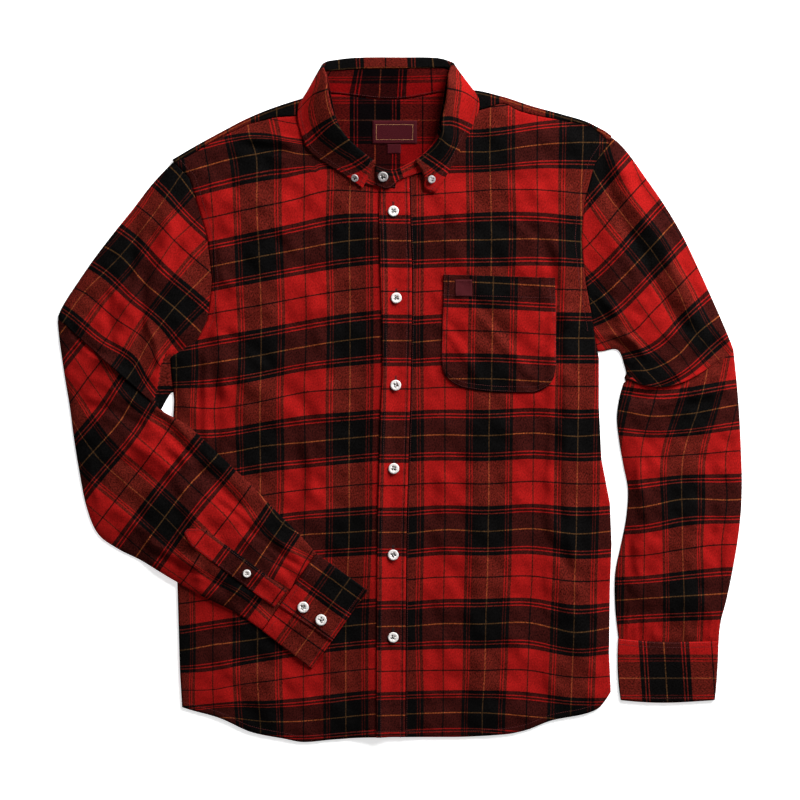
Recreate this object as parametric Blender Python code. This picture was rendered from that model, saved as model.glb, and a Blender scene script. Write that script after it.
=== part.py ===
"""A men's flannel shirt, buttoned and laid flat on its back.

The wearer's right sleeve is folded at the elbow over the front, the left one lies beside the body.
+X is the wearer's left, +Y points to the collar, +Z is up; the back rests on z = 0.
Shapes are worked out in millimetres and turned into metres when a mesh is made.
"""

import math
from collections import namedtuple

import bpy
from mathutils import Vector

MM = 0.001

# ---------------------------------------------------------------- driving sizes, mm
CLOTH = 1.2            # wall of one layer of brushed cotton
BAND_WALL = 1.8        # front band and cuffs are doubled
STAND_WALL = 1.5       # collar stand, interfaced
LABEL_WALL = 0.6
GAP = 0.3              # clearance at a seam and between layers
HEAD_GAP = 0.5         # clearance at the yoke's curved front seam
LIFT = 0.6             # clearance under what crosses a folded panel
LAYER = CLOTH + GAP    # one more layer of cloth raises what lies on it by this
COLLAR_BED = 1.6       # the leaf of the collar lies under the yoke, which it lifts by this
PUFF = 1.1             # how far a front stands off the back inside its side folds

BACK_SEAM_Y = 250.0    # yoke seam across the back
NECK_LEFT_X = -104.0   # where the yoke's front strips meet the collar
NECK_RIGHT_X = 86.0
CENTRE_X = -9.0        # middle of the front band and of the neck

# ---------------------------------------------------------------- outlines, mm
At = namedtuple("At", "y x")         # an upright edge: where it is at each height
Over = namedtuple("Over", "x y")     # a level edge: how high it is at each place across

LEFT_EDGE = [                        # side seam, then the right armhole
    At(-370, -257), At(-320, -260), At(-216, -263), At(-100, -266), At(-22, -268),
    At(0, -267), At(20, -269), At(50, -272), At(70, -240), At(95, -227.5), At(140, -222),
    At(190, -227.5), At(235, -240.5), At(262, -249), At(279, -265), At(283, -268.8),
]
RIGHT_EDGE = [                       # side seam, then the left armhole
    At(-370, 250), At(-345, 249), At(-300, 247), At(-221, 248), At(-170, 250),
    At(-122, 248), At(-70, 238), At(-8, 235), At(50, 235), At(70, 230.5), At(95, 227.3),
    At(140, 219), At(190, 214), At(235, 217.7), At(279, 230), At(306.7, 248), At(313, 250),
]
HEM = [                              # shirt tails, higher at the side seams
    Over(-270, -358), Over(-251, -365), Over(-215, -375), Over(-173, -393), Over(-137, -400),
    Over(-114, -404), Over(-78, -401), Over(-27, -398), Over(59, -398), Over(123, -395),
    Over(145, -391), Over(181, -378), Over(217, -371), Over(233, -365), Over(243, -354),
    Over(252, -340),
]
SHOULDER = [                         # fold of the yoke, with the back neck seam in its middle
    Over(-268, 283), Over(-237, 301), Over(-208, 317), Over(-179, 332), Over(-155, 342),
    Over(-115, 355), Over(-96, 360), Over(-78, 361), Over(-51, 358), Over(-24, 355),
    Over(1, 355), Over(28, 359), Over(52, 363), Over(84, 365), Over(119, 358),
    Over(157, 346), Over(190, 337), Over(220, 328), Over(234, 321), Over(250, 313),
]
YOKE_FRONT = [                       # yoke seam on the front
    Over(-268, 279), Over(-264, 279), Over(-237, 291), Over(-201, 306), Over(-155, 324),
    Over(-104, 333), Over(86, 347), Over(120, 349), Over(157, 339), Over(182, 331),
    Over(204, 326), Over(236, 313), Over(246, 307), Over(250, 307),
]
NECKLINE = [                         # seam of the stand on the two fronts
    Over(-104, 330), Over(-98, 302), Over(-90, 290), Over(-80, 279), Over(-62, 265),
    Over(-38, 252), Over(-24, 242), Over(-13, 242), Over(0, 255), Over(12, 262),
    Over(26, 267), Over(44, 274), Over(60, 285), Over(73, 302), Over(80, 320), Over(86, 345),
]
BAND_LEFT = [                        # free edge of the front band
    At(-400, -28), At(-314, -28), At(-142, -27), At(-24, -24), At(31, -21), At(103, -22),
    At(157, -24), At(215, -25), At(262, -24),
]
BAND_RIGHT = [                       # its seam on the left front
    At(-400, 6), At(-201, 7), At(-135, 8), At(0, 12), At(103, 14), At(157, 14), At(215, 12),
    At(262, 11),
]

Ridge = namedtuple("Ridge", "x0 y0 x1 y1 width height")
RIDGES = [                           # largest folds of the fronts
    Ridge(192, -20, 186, -390, 30, 2.2),
    Ridge(150, -60, 148, -330, 26, 1.2),
    Ridge(-226, 60, -120, -20, 22, 2.0),
    Ridge(222, 66, 130, -40, 22, 1.6),
    Ridge(-205, 300, -130, 278, 16, 1.4),
    Ridge(-205, -290, -214, -380, 26, 1.6),
    Ridge(-90, 20, -92, -110, 26, 1.5),
    Ridge(-150, -320, -158, -390, 22, 1.3),
    Ridge(88, -40, 96, -390, 26, 1.4),
    Ridge(-170, 240, -150, 60, 28, 1.3),
]

Station = namedtuple("Station", "ox oy ix iy bow raise_")
# Lines across a sleeve from its outer to its inner edge, from the armhole to the cuff.
# bow bends a line towards the cuff, raise_ lifts the upper layer where it laps a fold.
SLEEVE_RIGHT = [
    Station(-268, 282, -267, 9, 0, 0), Station(-279, 271, -270, 7.5, 0, 0),
    Station(-295, 253, -272, 5.5, 0, 0), Station(-316, 225, -274, 3, 0, 0.4),
    Station(-340, 195, -276, 0, 0, 0.8), Station(-362, 166, -277.5, -3, 0, 0.8),
    Station(-384, 134, -279, -6, 0, 1.2), Station(-398, 112, -280, -8, 0, 2.0),
    Station(-404, 99, -281, -10, 0, 2.6), Station(-403, 92, -281, -13, 0, 0.1),
    Station(-400, 68, -276, -16, 0, 0.2), Station(-394, 28, -268, -20, 0, 0.6),
    Station(-388, -8, -260, -24, 0, 0.8), Station(-383, -46, -252, -29, 0, 0.9),
    Station(-377, -84, -243, -36, 0, 0.9), Station(-369, -126, -232, -46, 0, 0.8),
    Station(-357, -158, -218, -60, 0, 0.8), Station(-333, -176, -203, -74, 0, 0.6),
    Station(-305, -190, -186, -90, 0, 0.6), Station(-270, -211, -166, -110, 0, 0.5),
    Station(-232, -232, -146, -131, 0, 0.4), Station(-195, -250, -122, -155, 0, 0.2),
    Station(-155.4, -262.6, -99.4, -180.4, 0, 0),
]
SLEEVE_LEFT = [
    Station(250, 311, 236, 57, 0, 0), Station(259, 304, 242, 58, 0, 0),
    Station(272, 289, 249, 60, 0, 0.3), Station(290, 263, 255, 60, 0, 0.8),
    Station(312, 231, 259, 57, 0, 1.0), Station(334, 194, 262, 51, 2, 1.0),
    Station(354, 152, 264, 44, 6, 0.9), Station(373, 110, 266, 37, 12, 1.4),
    Station(386, 80, 267, 31, 18, 2.0), Station(394, 60, 265, 27, 22, 2.6),
    Station(395, 50, 264, 20, 21, 0.1), Station(398, 20, 259, 2, 12, 0.2),
    Station(401, -18, 256, -22, 5, 0.7), Station(403, -60, 259, -50, 0, 0.9),
    Station(404, -95, 264, -78, 0, 1.0), Station(403, -130, 269, -106, 0, 0.9),
    Station(399, -166, 267, -139, 0, 0.8), Station(393, -201, 261, -170, 0, 0.8),
    Station(386, -235, 254, -205, 0, 0.6), Station(379, -262, 254, -244, 0, 0.3),
    Station(376.3, -282.7, 258, -281, 0, 0),
]
ARMHOLE_STATIONS = 4                 # stations over which a sleeve line leaves the armhole's curve
RIGHT_LEVELS = (262, 235, 190, 140, 95, 70, 50, 20)     # heights that both sides of a seam share
LEFT_LEVELS = (306.7, 279, 235, 190, 140, 95, 70)

Rim = namedtuple("Rim", "lx ly lz ux uy uz")
# The collar stand, from its hidden right end round the back to its left end on top:
# the neck seam (l) and the edge under the leaf (u), each with the height of its middle.
STAND = [
    Rim(-6, 250, 4.6, -2, 268, 4.8), Rim(-38, 254, 4.6, -34, 279, 5.6),
    Rim(-61, 266.5, 4.6, -54, 299, 6.6), Rim(-79, 281, 4.8, -68, 316, 7.4),
    Rim(-91, 295, 5.0, -76, 335, 8.0), Rim(-99, 315, 5.2, -81, 358, 8.2),
    Rim(-101.5, 336, 5.6, -84, 376, 8.2), Rim(-102, 352, 4.6, -87, 385, 5.9),
    Rim(-99, 362, 2.9, -84, 388.5, 4.1), Rim(-78, 362.2, 2.6, -68, 389.6, 4.4),
    Rim(-51, 359, 2.5, -46, 390, 5.0), Rim(-24, 356, 2.5, -22, 390.4, 5.2),
    Rim(2, 356, 2.5, 4, 390.6, 5.2), Rim(28, 360.2, 2.5, 28, 391.2, 5.0),
    Rim(52, 364.4, 2.6, 46, 391.6, 4.4), Rim(80, 367, 2.9, 54, 390, 4.1),
    Rim(84, 358, 4.6, 57.5, 386, 5.9), Rim(83, 342, 5.6, 54, 374, 8.2),
    Rim(79, 322, 5.2, 51, 352, 8.2), Rim(71, 305, 5.0, 47, 331, 8.0),
    Rim(59, 288.5, 4.8, 43, 312, 7.6), Rim(43, 276.5, 5.2, 34, 297, 7.2),
    Rim(25, 269, 6.0, 20, 285, 6.8), Rim(11, 264, 6.4, 8, 278, 7.0),
    Rim(-1, 257.5, 6.5, -6, 272, 7.0), Rim(-14, 245, 6.5, -18, 273, 7.2),
    Rim(-30, 248.5, 6.5, -29, 277, 7.4),
]

Leaf = namedtuple("Leaf", "rx ry fx fy roll free turn seam")
# The collar leaf: its roll line (r) and free edge (f), the height of the roll's middle and of the
# free edge, where the leg to the stand lies (90 above the leaf, 0 inside it, -90 under it), and
# how long that leg is.
LEAF = [
    Leaf(-29, 281, -44, 250, 10.0, 6.0, -90, 3), Leaf(-38, 287, -65, 265, 10.4, 5.8, -90, 3),
    Leaf(-58, 304, -92, 282, 11.2, 6.2, -90, 3), Leaf(-71, 320, -109, 296, 11.8, 6.6, -90, 3),
    Leaf(-80, 342, -118, 318, 12.2, 6.6, -90, 3), Leaf(-85, 364, -121, 334, 12.0, 6.8, -90, 3.5),
    Leaf(-87, 382, -122, 346, 10.8, 6.8, -84, 4.5), Leaf(-90, 391, -120, 357, 9.2, 6.0, -60, 6),
    Leaf(-92.5, 396, -117, 360.5, 6.0, 3.2, 0, 8), Leaf(-88, 399, -108, 361.5, 4.2, 0.9, 70, 11),
    Leaf(-76, 401, -88, 353, 4.2, 0.6, 90, 12.5),
    Leaf(-60, 403, -62, 353, 4.4, 0.6, 90, 13), Leaf(-37, 404, -37, 354, 4.6, 0.6, 90, 13),
    Leaf(0, 404, 0, 354, 4.6, 0.6, 90, 12.5), Leaf(30, 404, 31, 354, 4.5, 0.6, 90, 12),
    Leaf(46, 403, 60, 356, 4.4, 0.6, 90, 11), Leaf(57, 401, 80, 368.5, 4.2, 0.9, 70, 9),
    Leaf(61.5, 398, 89, 369.5, 6.0, 3.2, 0, 8), Leaf(59, 392, 93, 366.5, 9.2, 6.0, -60, 6),
    Leaf(57, 383, 95, 356, 10.8, 6.8, -84, 4.5), Leaf(56, 370, 93, 343, 12.0, 6.8, -90, 3.5),
    Leaf(54, 352, 87, 327, 12.2, 6.4, -90, 3),
    Leaf(49.5, 331, 80, 312, 11.8, 6.4, -90, 3), Leaf(48, 314, 71, 295, 11.4, 6.4, -90, 3),
    Leaf(41, 301, 62, 278, 11.0, 5.8, -90, 3), Leaf(28, 289, 52, 260, 10.6, 5.8, -90, 3),
    Leaf(18, 282, 41, 244, 10.2, 6.0, -90, 3),
]
ROLL_GAP = 3.4                       # between the middles of the leaf's two legs at the roll

CUFF_LAP = (0.757, 0.647)            # where the right cuff's lap ends, at its seam and at its edge
CUFF_R_SEAM = ((-99, -181), (-155, -263.3))
CUFF_R_EDGE = ((-38, -225), (-104, -317))
CUFF_WALL = 1.5

PLACKET_TIP = (-252, -154)
PLACKET_END = (-142, -236)
PLACKET_HALF = 15.0

Button = namedtuple("Button", "name x y z diameter tilt lean")
# tilt turns a button about Y and lean about X, in degrees; z is 0 where the cloth gives its height.
BUTTONS = [
    Button("button_front_1", -7, 224, 0, 13.2, 0, 0), Button("button_front_2", -5, 120, 0, 13.2, 0, 0),
    Button("button_front_3", -5, 19, 0, 13.2, 0, 0), Button("button_front_4", -7, -80, 0, 13.2, 0, 0),
    Button("button_front_5", -8, -182, 0, 13.2, 0, 0), Button("button_front_6", -8, -280, 0, 13.2, 0, 0),
    Button("button_neck", -20, 264, 8.1, 13.2, 0, 1.5),
    Button("button_collar_right", -53, 264, 7.8, 9.4, -6, 8),
    Button("button_collar_left", 37, 260, 8.8, 9.4, 8, 8),
    Button("button_cuff_1", -114, -244, 0, 13.2, 0, 0), Button("button_cuff_2", -93, -259, 0, 13.2, 0, 0),
    Button("button_sleeve_placket", -180, -204, 0, 9.4, 0, 0),
]
BUTTON_HEIGHT = 2.6

Finish = namedtuple("Finish", "name colour roughness")
PLAID = Finish("flannel", (0.30, 0.02, 0.02, 1), 0.95)
BURGUNDY = Finish("burgundy", (0.07, 0.01, 0.015, 1), 0.8)
PEARL = Finish("pearl", (0.82, 0.80, 0.76, 1), 0.25)


# ---------------------------------------------------------------- curves
def smooth(value):
    """0 below 0, 1 above 1, and a soft step between."""
    value = min(max(value, 0.0), 1.0)
    return value * value * (3 - 2 * value)


def read(rows, at):
    """The second column of a two-column table at a value of its key, without overshoot."""
    keys = [row[0] for row in rows]
    key = 1
    last = len(rows) - 1
    at = min(max(at, keys[0]), keys[-1])
    place = 0
    while place < last - 1 and at > keys[place + 1]:
        place += 1

    def slope(k):
        if k <= 0 or k >= last:
            near = 0 if k <= 0 else last - 1
            return (rows[near + 1][key] - rows[near][key]) / (keys[near + 1] - keys[near])
        before = (rows[k][key] - rows[k - 1][key]) / (keys[k] - keys[k - 1])
        after = (rows[k + 1][key] - rows[k][key]) / (keys[k + 1] - keys[k])
        return 0.0 if before * after <= 0 else 2 * before * after / (before + after)

    span = keys[place + 1] - keys[place]
    t = (at - keys[place]) / span
    a, b = rows[place][key], rows[place + 1][key]
    if isinstance(rows[0], At):
        return a + (b - a) * t
    return (
        a * (1 + 2 * t) * (1 - t) ** 2
        + b * t * t * (3 - 2 * t)
        + span * (slope(place) * t * (1 - t) ** 2 - slope(place + 1) * t * t * (1 - t))
    )


def between(rows, steps):
    """Rows of a table with `steps` - 1 new ones on a smooth curve between each two."""
    kind = type(rows[0])
    result = []
    for k in range(len(rows) - 1):
        a, b = rows[max(k - 1, 0)], rows[k]
        c, d = rows[k + 1], rows[min(k + 2, len(rows) - 1)]
        for step in range(steps):
            t = step / steps
            result.append(kind(*(
                0.5 * (2 * q + (r - p) * t + (2 * p - 5 * q + 4 * r - s) * t * t
                       + (3 * q - p - 3 * r + s) * t ** 3)
                for p, q, r, s in zip(a, b, c, d)
            )))
    result.append(rows[-1])
    return result


def spaced(stops, counts):
    """Values that cross each stretch between two stops in its own number of equal steps."""
    values = [stops[0]]
    for start, end, count in zip(stops, stops[1:], counts):
        values += [start + (end - start) * (k + 1) / count for k in range(count)]
    return values


# ---------------------------------------------------------------- heights
def bed(x, y):
    """How far the collar's leaf lifts the cloth round the neck."""
    return COLLAR_BED * smooth((y - 262) / 28) * (1 - smooth((abs(x - CENTRE_X) - 118) / 44))


def ridge_height(x, y):
    """The sum of the fronts' soft folds at a point."""
    total = 0.0
    for ridge in RIDGES:
        dx, dy = ridge.x1 - ridge.x0, ridge.y1 - ridge.y0
        length = math.hypot(dx, dy)
        along = ((x - ridge.x0) * dx + (y - ridge.y0) * dy) / length
        aside = abs((x - ridge.x0) * dy - (y - ridge.y0) * dx) / length
        ends = smooth((along + 20) / 60) * smooth((length + 40 - along) / 60)
        total += ridge.height * ends * (1 - smooth(aside / ridge.width))
    return total


def front_under(x, y):
    """Underside of a front where it lies on the back."""
    side = min(x - read(LEFT_EDGE, y), read(RIGHT_EDGE, y) - x)
    band = min(abs(x - read(BAND_LEFT, y)), abs(x - read(BAND_RIGHT, y)))
    inside = read(BAND_LEFT, y) < x < read(BAND_RIGHT, y)
    away = 0.0 if inside else smooth((band - 4) / 36)
    room = smooth(side / 34) * away
    hem = smooth((y - read(HEM, x)) / 24)
    return LAYER + bed(x, y) + room * (0.25 + 0.75 * hem) * (PUFF + ridge_height(x, y))


def front_top(x, y):
    return front_under(x, y) + CLOTH


def left_front_under(x, y):
    """The left front climbs over the right one beside the front band."""
    over = 1 - smooth((x - read(BAND_RIGHT, y) - 3) / 36)
    return front_under(x, y) + LAYER * over


def band_under(x, y):
    return front_under(x, y) + LAYER


def sleeve_bed(x, y):
    """Underside of the right sleeve: on the ground, then over the side seam and on the front."""
    edge = read(LEFT_EDGE, y)
    return smooth((x - edge + 46) / 26) * smooth((6 - y) / 18) * (front_top(max(x, edge), y) + LIFT)


def top_of_sleeve(x, y, raised):
    return sleeve_bed(x, y) + 2 * CLOTH + GAP + raised


# ---------------------------------------------------------------- meshes
FOOT_SHARES = (0, 0.5)                   # rows between a panel's foot and its first level
HEAD_SHARES = (0.3, 0.614, 0.82, 1.0)    # rows between its last level and its head


def material(name, finish):
    made = bpy.data.materials.new(f"{name}_{finish.name}")
    made.use_nodes = True
    shader = made.node_tree.nodes["Principled BSDF"]
    shader.inputs["Base Color"].default_value = finish.colour
    shader.inputs["Roughness"].default_value = finish.roughness
    shader.inputs["Metallic"].default_value = 0.0
    return made


def piece(name, points, faces, finish):
    """An object from points in mm and faces that look outward or upward."""
    mesh = bpy.data.meshes.new(name)
    mesh.from_pydata([Vector(point) * MM for point in points], [], faces)
    mesh.validate()
    mesh.shade_smooth()
    mesh.set_sharp_from_angle(angle=math.radians(50))
    made = bpy.data.objects.new(name, mesh)
    made.data.materials.append(material(name, finish))
    bpy.context.scene.collection.objects.link(made)
    return made


def walled(made, wall, side):
    """Gives a sheet its wall: side 1 adds it above the faces, -1 below, 0 half each way."""
    solidify = made.modifiers.new("wall", "SOLIDIFY")
    solidify.thickness = wall * MM
    solidify.offset = side
    solidify.use_rim = True
    return made


def grid_faces(across, along, closed=False):
    """Faces of a grid stored row by row, `across` points to a row; closed joins each row's ends."""
    faces = []
    for j in range(along - 1):
        for i in range(across if closed else across - 1):
            k = (i + 1) % across
            faces.append((j * across + i, j * across + k, (j + 1) * across + k, (j + 1) * across + i))
    return faces


def panel(name, parts, levels, left, right, bottom, top, height, finish, wall):
    """A flat-lying panel: its columns from 0 to 1, and the heights of its inner rows."""
    low, high = levels[0], levels[-1]

    def at(part, y):
        return left(y) + (right(y) - left(y)) * part

    def end(part, edge, start):
        y = start
        for _ in range(8):
            y = edge(at(part, y))
        return y

    rows = []
    feet = [end(part, bottom, low) for part in parts]
    heads = [end(part, top, high) for part in parts]
    for share in FOOT_SHARES:
        rows.append([foot + (low - foot) * share for foot in feet])
    for level in levels:
        rows.append([level] * len(parts))
    for share in HEAD_SHARES:
        rows.append([high + (head - high) * share for head in heads])
    points = []
    for row in rows:
        for part, y in zip(parts, row):
            x = at(part, y)
            points.append((x, y, height(x, y)))
    return walled(piece(name, points, grid_faces(len(parts), len(rows)), finish), wall, 1)


# ---------------------------------------------------------------- body
BODY_LEVELS = spaced((-335, 0, 20), (6, 1)) + [50, 70, 95, 140, 190, 235]
BAND_REACH = 8.0                         # how far short of the band's seam the right front stops


def make_back():
    panel(
        "back", spaced((0, 1), (10,)), BODY_LEVELS,
        lambda y: read(LEFT_EDGE, y), lambda y: read(RIGHT_EDGE, y),
        lambda x: read(HEM, x), lambda x: BACK_SEAM_Y - GAP, lambda x, y: 0.0, PLAID, CLOTH,
    )


def front_head(x):
    """Upper edge of a front: the neckline between the two ends of the yoke, the yoke seam outside."""
    if NECK_LEFT_X < x < NECK_RIGHT_X:
        return read(NECKLINE, x) - GAP
    return read(YOKE_FRONT, x) - HEAD_GAP


def make_fronts():
    panel(
        "front_right", spaced((0, 0.60, 0.72, 1), (7, 5, 5)), BODY_LEVELS,
        lambda y: read(LEFT_EDGE, y), lambda y: read(BAND_RIGHT, y) - BAND_REACH,
        lambda x: read(HEM, x), front_head, front_under, PLAID, CLOTH,
    )
    panel(
        "front_left", spaced((0, 0.20, 0.36, 1), (4, 5, 8)), BODY_LEVELS,
        lambda y: read(BAND_RIGHT, y) + GAP, lambda y: read(RIGHT_EDGE, y),
        lambda x: read(HEM, x), front_head, left_front_under, PLAID, CLOTH,
    )
    panel(
        "front_band", spaced((0, 1), (4,)), spaced((-335, 225), (10,)),
        lambda y: read(BAND_LEFT, y), lambda y: read(BAND_RIGHT, y),
        lambda x: read(HEM, x), front_head, band_under, PLAID, BAND_WALL,
    )


YOKE_ROWS = ((262, 279), (279, 306.7))   # its inner rows, at the right and the left armhole


def make_yoke():
    """One sheet: flat under the neck, and over each shoulder it turns to the front."""
    parts = spaced((-268, NECK_LEFT_X, NECK_RIGHT_X, 250), (8, 8, 8))
    turns = (0.0, 45.0, 90.0, 135.0, 180.0)
    fold = (CLOTH + LAYER) / 2
    points, faces = [], []
    index = {}
    for i, start in enumerate(parts):
        column = []
        edge = read(SHOULDER, start)
        wraps = start <= NECK_LEFT_X or start >= NECK_RIGHT_X
        far = (start - parts[0]) / (parts[-1] - parts[0])
        column.append((BACK_SEAM_Y, 0.0))
        for low, high in YOKE_ROWS:
            column.append((low + (high - low) * far, 0.0))
        if wraps:
            for turn in turns:
                angle = math.radians(turn)
                column.append((edge - fold + fold * math.sin(angle), fold - fold * math.cos(angle)))
            front = read(YOKE_FRONT, start)
            column.append(((edge - fold + front) / 2, 2 * fold))
            column.append((front, 2 * fold))
        else:
            column.append((edge, 0.0))
        for j, (y, z) in enumerate(column):
            low, high = read(LEFT_EDGE, y), read(RIGHT_EDGE, y)
            x = low + (high - low) * far
            index[i, j] = len(points)
            points.append((x, y, z + bed(x, y)))
    longest = max(j for i, j in index)
    for i in range(len(parts) - 1):
        for j in range(longest):
            corners = [(i, j), (i, j + 1), (i + 1, j + 1), (i + 1, j)]
            if all(corner in index for corner in corners):
                faces.append(tuple(index[corner] for corner in corners))
    walled(piece("yoke", points, faces, PLAID), CLOTH, -1)


# ---------------------------------------------------------------- collar
def make_stand():
    rows = between(STAND, 2)
    points = []
    for row in rows:
        for t in (0.0, 0.5, 1.0):
            points.append((row.lx + (row.ux - row.lx) * t, row.ly + (row.uy - row.ly) * t,
                           row.lz + (row.uz - row.lz) * t))
    walled(piece("collar_stand", points, grid_faces(3, len(rows)), PLAID), STAND_WALL, 0)


def make_leaf():
    """Each row runs from the stand's edge round the roll and out to the free edge."""
    rows = between(LEAF, 2)
    radius = ROLL_GAP / 2
    points = []
    for row in rows:
        out = Vector((row.fx - row.rx, row.fy - row.ry, 0))
        length = out.length
        out.normalize()
        inward = Vector((-out.y, out.x, 0)) if row.rx < CENTRE_X else Vector((out.y, -out.x, 0))
        angle = math.radians(row.turn)
        seat = inward * math.cos(angle) + Vector((0, 0, math.sin(angle)))
        roll = Vector((row.rx, row.ry, row.roll))
        for far in (1.0, 0.5):
            points.append(roll + out * (radius + (row.seam - radius) * far) + seat * radius)
        for turn in (0, 60, 120):
            bend = math.radians(turn)
            points.append(roll + out * radius * (1 - math.sin(bend)) + seat * radius * math.cos(bend))
        start = roll + out * radius - seat * radius
        drop = row.free - start.z
        for far in (0.0, 0.12, 0.3, 0.52, 0.76, 1.0):
            place = start + out * (length - radius) * far
            place.z = start.z + drop * smooth(far) * 0.5 + drop * far * 0.5
            points.append(place)
    walled(piece("collar_leaf", points, grid_faces(11, len(rows)), PLAID), CLOTH, 0)


# ---------------------------------------------------------------- sleeves
def across(station, part):
    """A point on a station's line; the bow bends it towards the cuff."""
    x = station.ox + (station.ix - station.ox) * part
    y = station.oy + (station.iy - station.oy) * part
    fullness = 0.7 + 0.6 * part
    return x, y - station.bow * math.sin(math.pi * part) * fullness


def make_sleeve(name, stations, armhole, levels, gap, height):
    """A flattened open tube. The armhole end follows the body's edge at a seam's gap."""
    head, foot = stations[0].oy, stations[0].iy
    upper = [(head - level) / (head - foot) for level in levels]
    lower = upper[::-1]
    points = []
    for place, station in enumerate(stations):
        leave = min(place / ARMHOLE_STATIONS, 1.0)
        width = math.hypot(station.ix - station.ox, station.iy - station.oy)

        def spot(part):
            x, y = across(station, part)
            if leave < 1:
                level = stations[0].oy + (stations[0].iy - stations[0].oy) * part
                seam_x = read(armhole, level) + gap
                shift_x = x - across(stations[0], part)[0]
                shift_y = y - level
                x = (1 - smooth(leave)) * (seam_x + shift_x) + smooth(leave) * x
                y = (1 - smooth(leave)) * (level + shift_y * leave) + smooth(leave) * y
            return x, y

        thick = 2 * CLOTH + GAP
        round_ = thick / 2
        ring = []
        for part in upper:
            x, y = spot(part)
            lifted = station.raise_ * math.sin(math.pi * part) ** 0.6
            ring.append((x, y, height(x, y) + thick + lifted))
        for turn in (-60, 0, 60):
            x, y = spot(1 - round_ / width * (1 - math.cos(math.radians(turn))))
            ring.append((x, y, height(x, y) + round_ - round_ * math.sin(math.radians(turn))))
        for part in lower:
            x, y = spot(part)
            ring.append((x, y, height(x, y)))
        for turn in (60, 0, -60):
            x, y = spot(round_ / width * (1 - math.cos(math.radians(turn))))
            ring.append((x, y, height(x, y) + round_ - round_ * math.sin(math.radians(turn))))
        points += ring
    faces = grid_faces(len(upper) + len(lower) + 6, len(stations), closed=True)
    if stations[0].ox < 0:
        faces = [tuple(reversed(face)) for face in faces]
    walled(piece(name, points, faces, PLAID), CLOTH, -1)


def forearm_top(x, y):
    """Upper face of the folded forearm, at its fullest."""
    return top_of_sleeve(x, y, 0.9)


def make_sleeve_placket():
    tip, end = Vector(PLACKET_TIP), Vector(PLACKET_END)
    along = (end - tip).normalized()
    aside = Vector((-along.y, along.x))
    length = (end - tip).length
    points = []
    rows = [0.0, 5.0, 12.0, 18.0] + [18 + (length - 18) * k / 7 for k in range(1, 8)]
    for far in rows:
        half = 3 + (PLACKET_HALF - 3) * min(far / 15, 1.0)
        for part in (-1, -0.5, 0, 0.5, 1):
            spot = tip + along * far - aside * half * part
            points.append((spot.x, spot.y, forearm_top(spot.x, spot.y) + GAP))
    walled(piece("sleeve_placket_right", points, grid_faces(5, len(rows)), PLAID), CLOTH, 1)


# ---------------------------------------------------------------- cuffs
def make_cuff_right():
    """A strip that goes from under its lap round the wrist and back over itself."""
    half = CUFF_WALL / 2
    layer = CUFF_WALL + GAP
    rows = 6
    points = []
    for k in range(rows):
        far = k / (rows - 1)
        seam = [Vector(CUFF_R_SEAM[side]).lerp(Vector(CUFF_R_EDGE[side]), far) for side in (0, 1)]
        start = (seam[1] - seam[0]).normalized() * GAP + seam[0]
        width = (seam[1] - seam[0]).length - 2 * GAP
        along = (seam[1] - seam[0]).normalized()
        lap = (CUFF_LAP[0] + (CUFF_LAP[1] - CUFF_LAP[0]) * far) * width
        turn = layer / 2
        path = [(0.42 * width, layer), (0.6 * width, layer), (0.8 * width, layer), (width - turn, layer)]
        path += [(width - turn + turn * math.sin(a), layer / 2 + turn * math.cos(a))
                 for a in (math.pi / 4, math.pi / 2, 3 * math.pi / 4)]
        path += [(width - turn + (2 * turn - width) * t / 7, 0) for t in range(8)]
        path += [(turn - turn * math.sin(a), layer / 2 - turn * math.cos(a))
                 for a in (math.pi / 4, math.pi / 2, 3 * math.pi / 4)]
        path += [(turn, layer), (0.14 * width, layer * 1.05), (0.24 * width, layer * 1.4),
                 (0.33 * width, layer * 1.8), (0.4 * width, 2 * layer)]
        path += [(0.4 * width + (lap - 0.4 * width) * t, 2 * layer) for t in (0.33, 0.66, 1)]
        for reach, rise in path:
            spot = start + along * reach
            points.append((spot.x, spot.y, sleeve_bed(spot.x, spot.y) + half + rise))
    across_count = len(points) // rows
    walled(piece("cuff_right", points, grid_faces(across_count, rows), PLAID), CUFF_WALL, 0)


def cuff_button_height(x, y):
    return sleeve_bed(x, y) + 2 * (CUFF_WALL + GAP) + CUFF_WALL + GAP


CUFF_LEFT = [                        # the left cuff: a closed ring, its opening faces the ground
    Station(376.5, -283.3, 257.5, -281.6, 0, 0), Station(376, -300, 256.8, -300, 0, 0),
    Station(375, -320, 257, -320, 0, 0), Station(373.5, -340, 258.5, -340, 1, 0),
    Station(372, -354.5, 260.5, -354.5, 3, 0),
]


def make_cuff_left():
    thick = 2 * CUFF_WALL + GAP
    radius = thick / 2
    points = []
    for station in CUFF_LEFT:
        width = station.ox - station.ix
        ring = []
        for part in (0.03, 0.26, 0.5, 0.74, 0.97):
            x, y = across(station, part)
            ring.append((x, y, thick))
        for turn in (-45, 0, 45):
            x, y = across(station, 1 - radius / width * (1 - math.cos(math.radians(turn))))
            ring.append((x, y, radius - radius * math.sin(math.radians(turn))))
        for part in (0.97, 0.5, 0.03):
            x, y = across(station, part)
            ring.append((x, y, 0.0))
        for turn in (45, 0, -45):
            x, y = across(station, radius / width * (1 - math.cos(math.radians(turn))))
            ring.append((x, y, radius - radius * math.sin(math.radians(turn))))
        points += ring
    walled(piece("cuff_left", points, grid_faces(14, len(CUFF_LEFT), closed=True), PLAID), CUFF_WALL, -1)


# ---------------------------------------------------------------- pocket, labels
POCKET_FOOT = [
    Over(48, 44), Over(52, 31), Over(64, 19), Over(80, 13), Over(119, 9), Over(156, 8.5),
    Over(171, 14), Over(181, 26), Over(184, 40),
]
POCKET_HEAD = (148, 144)             # its upper edge, at its left and right corners


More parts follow.
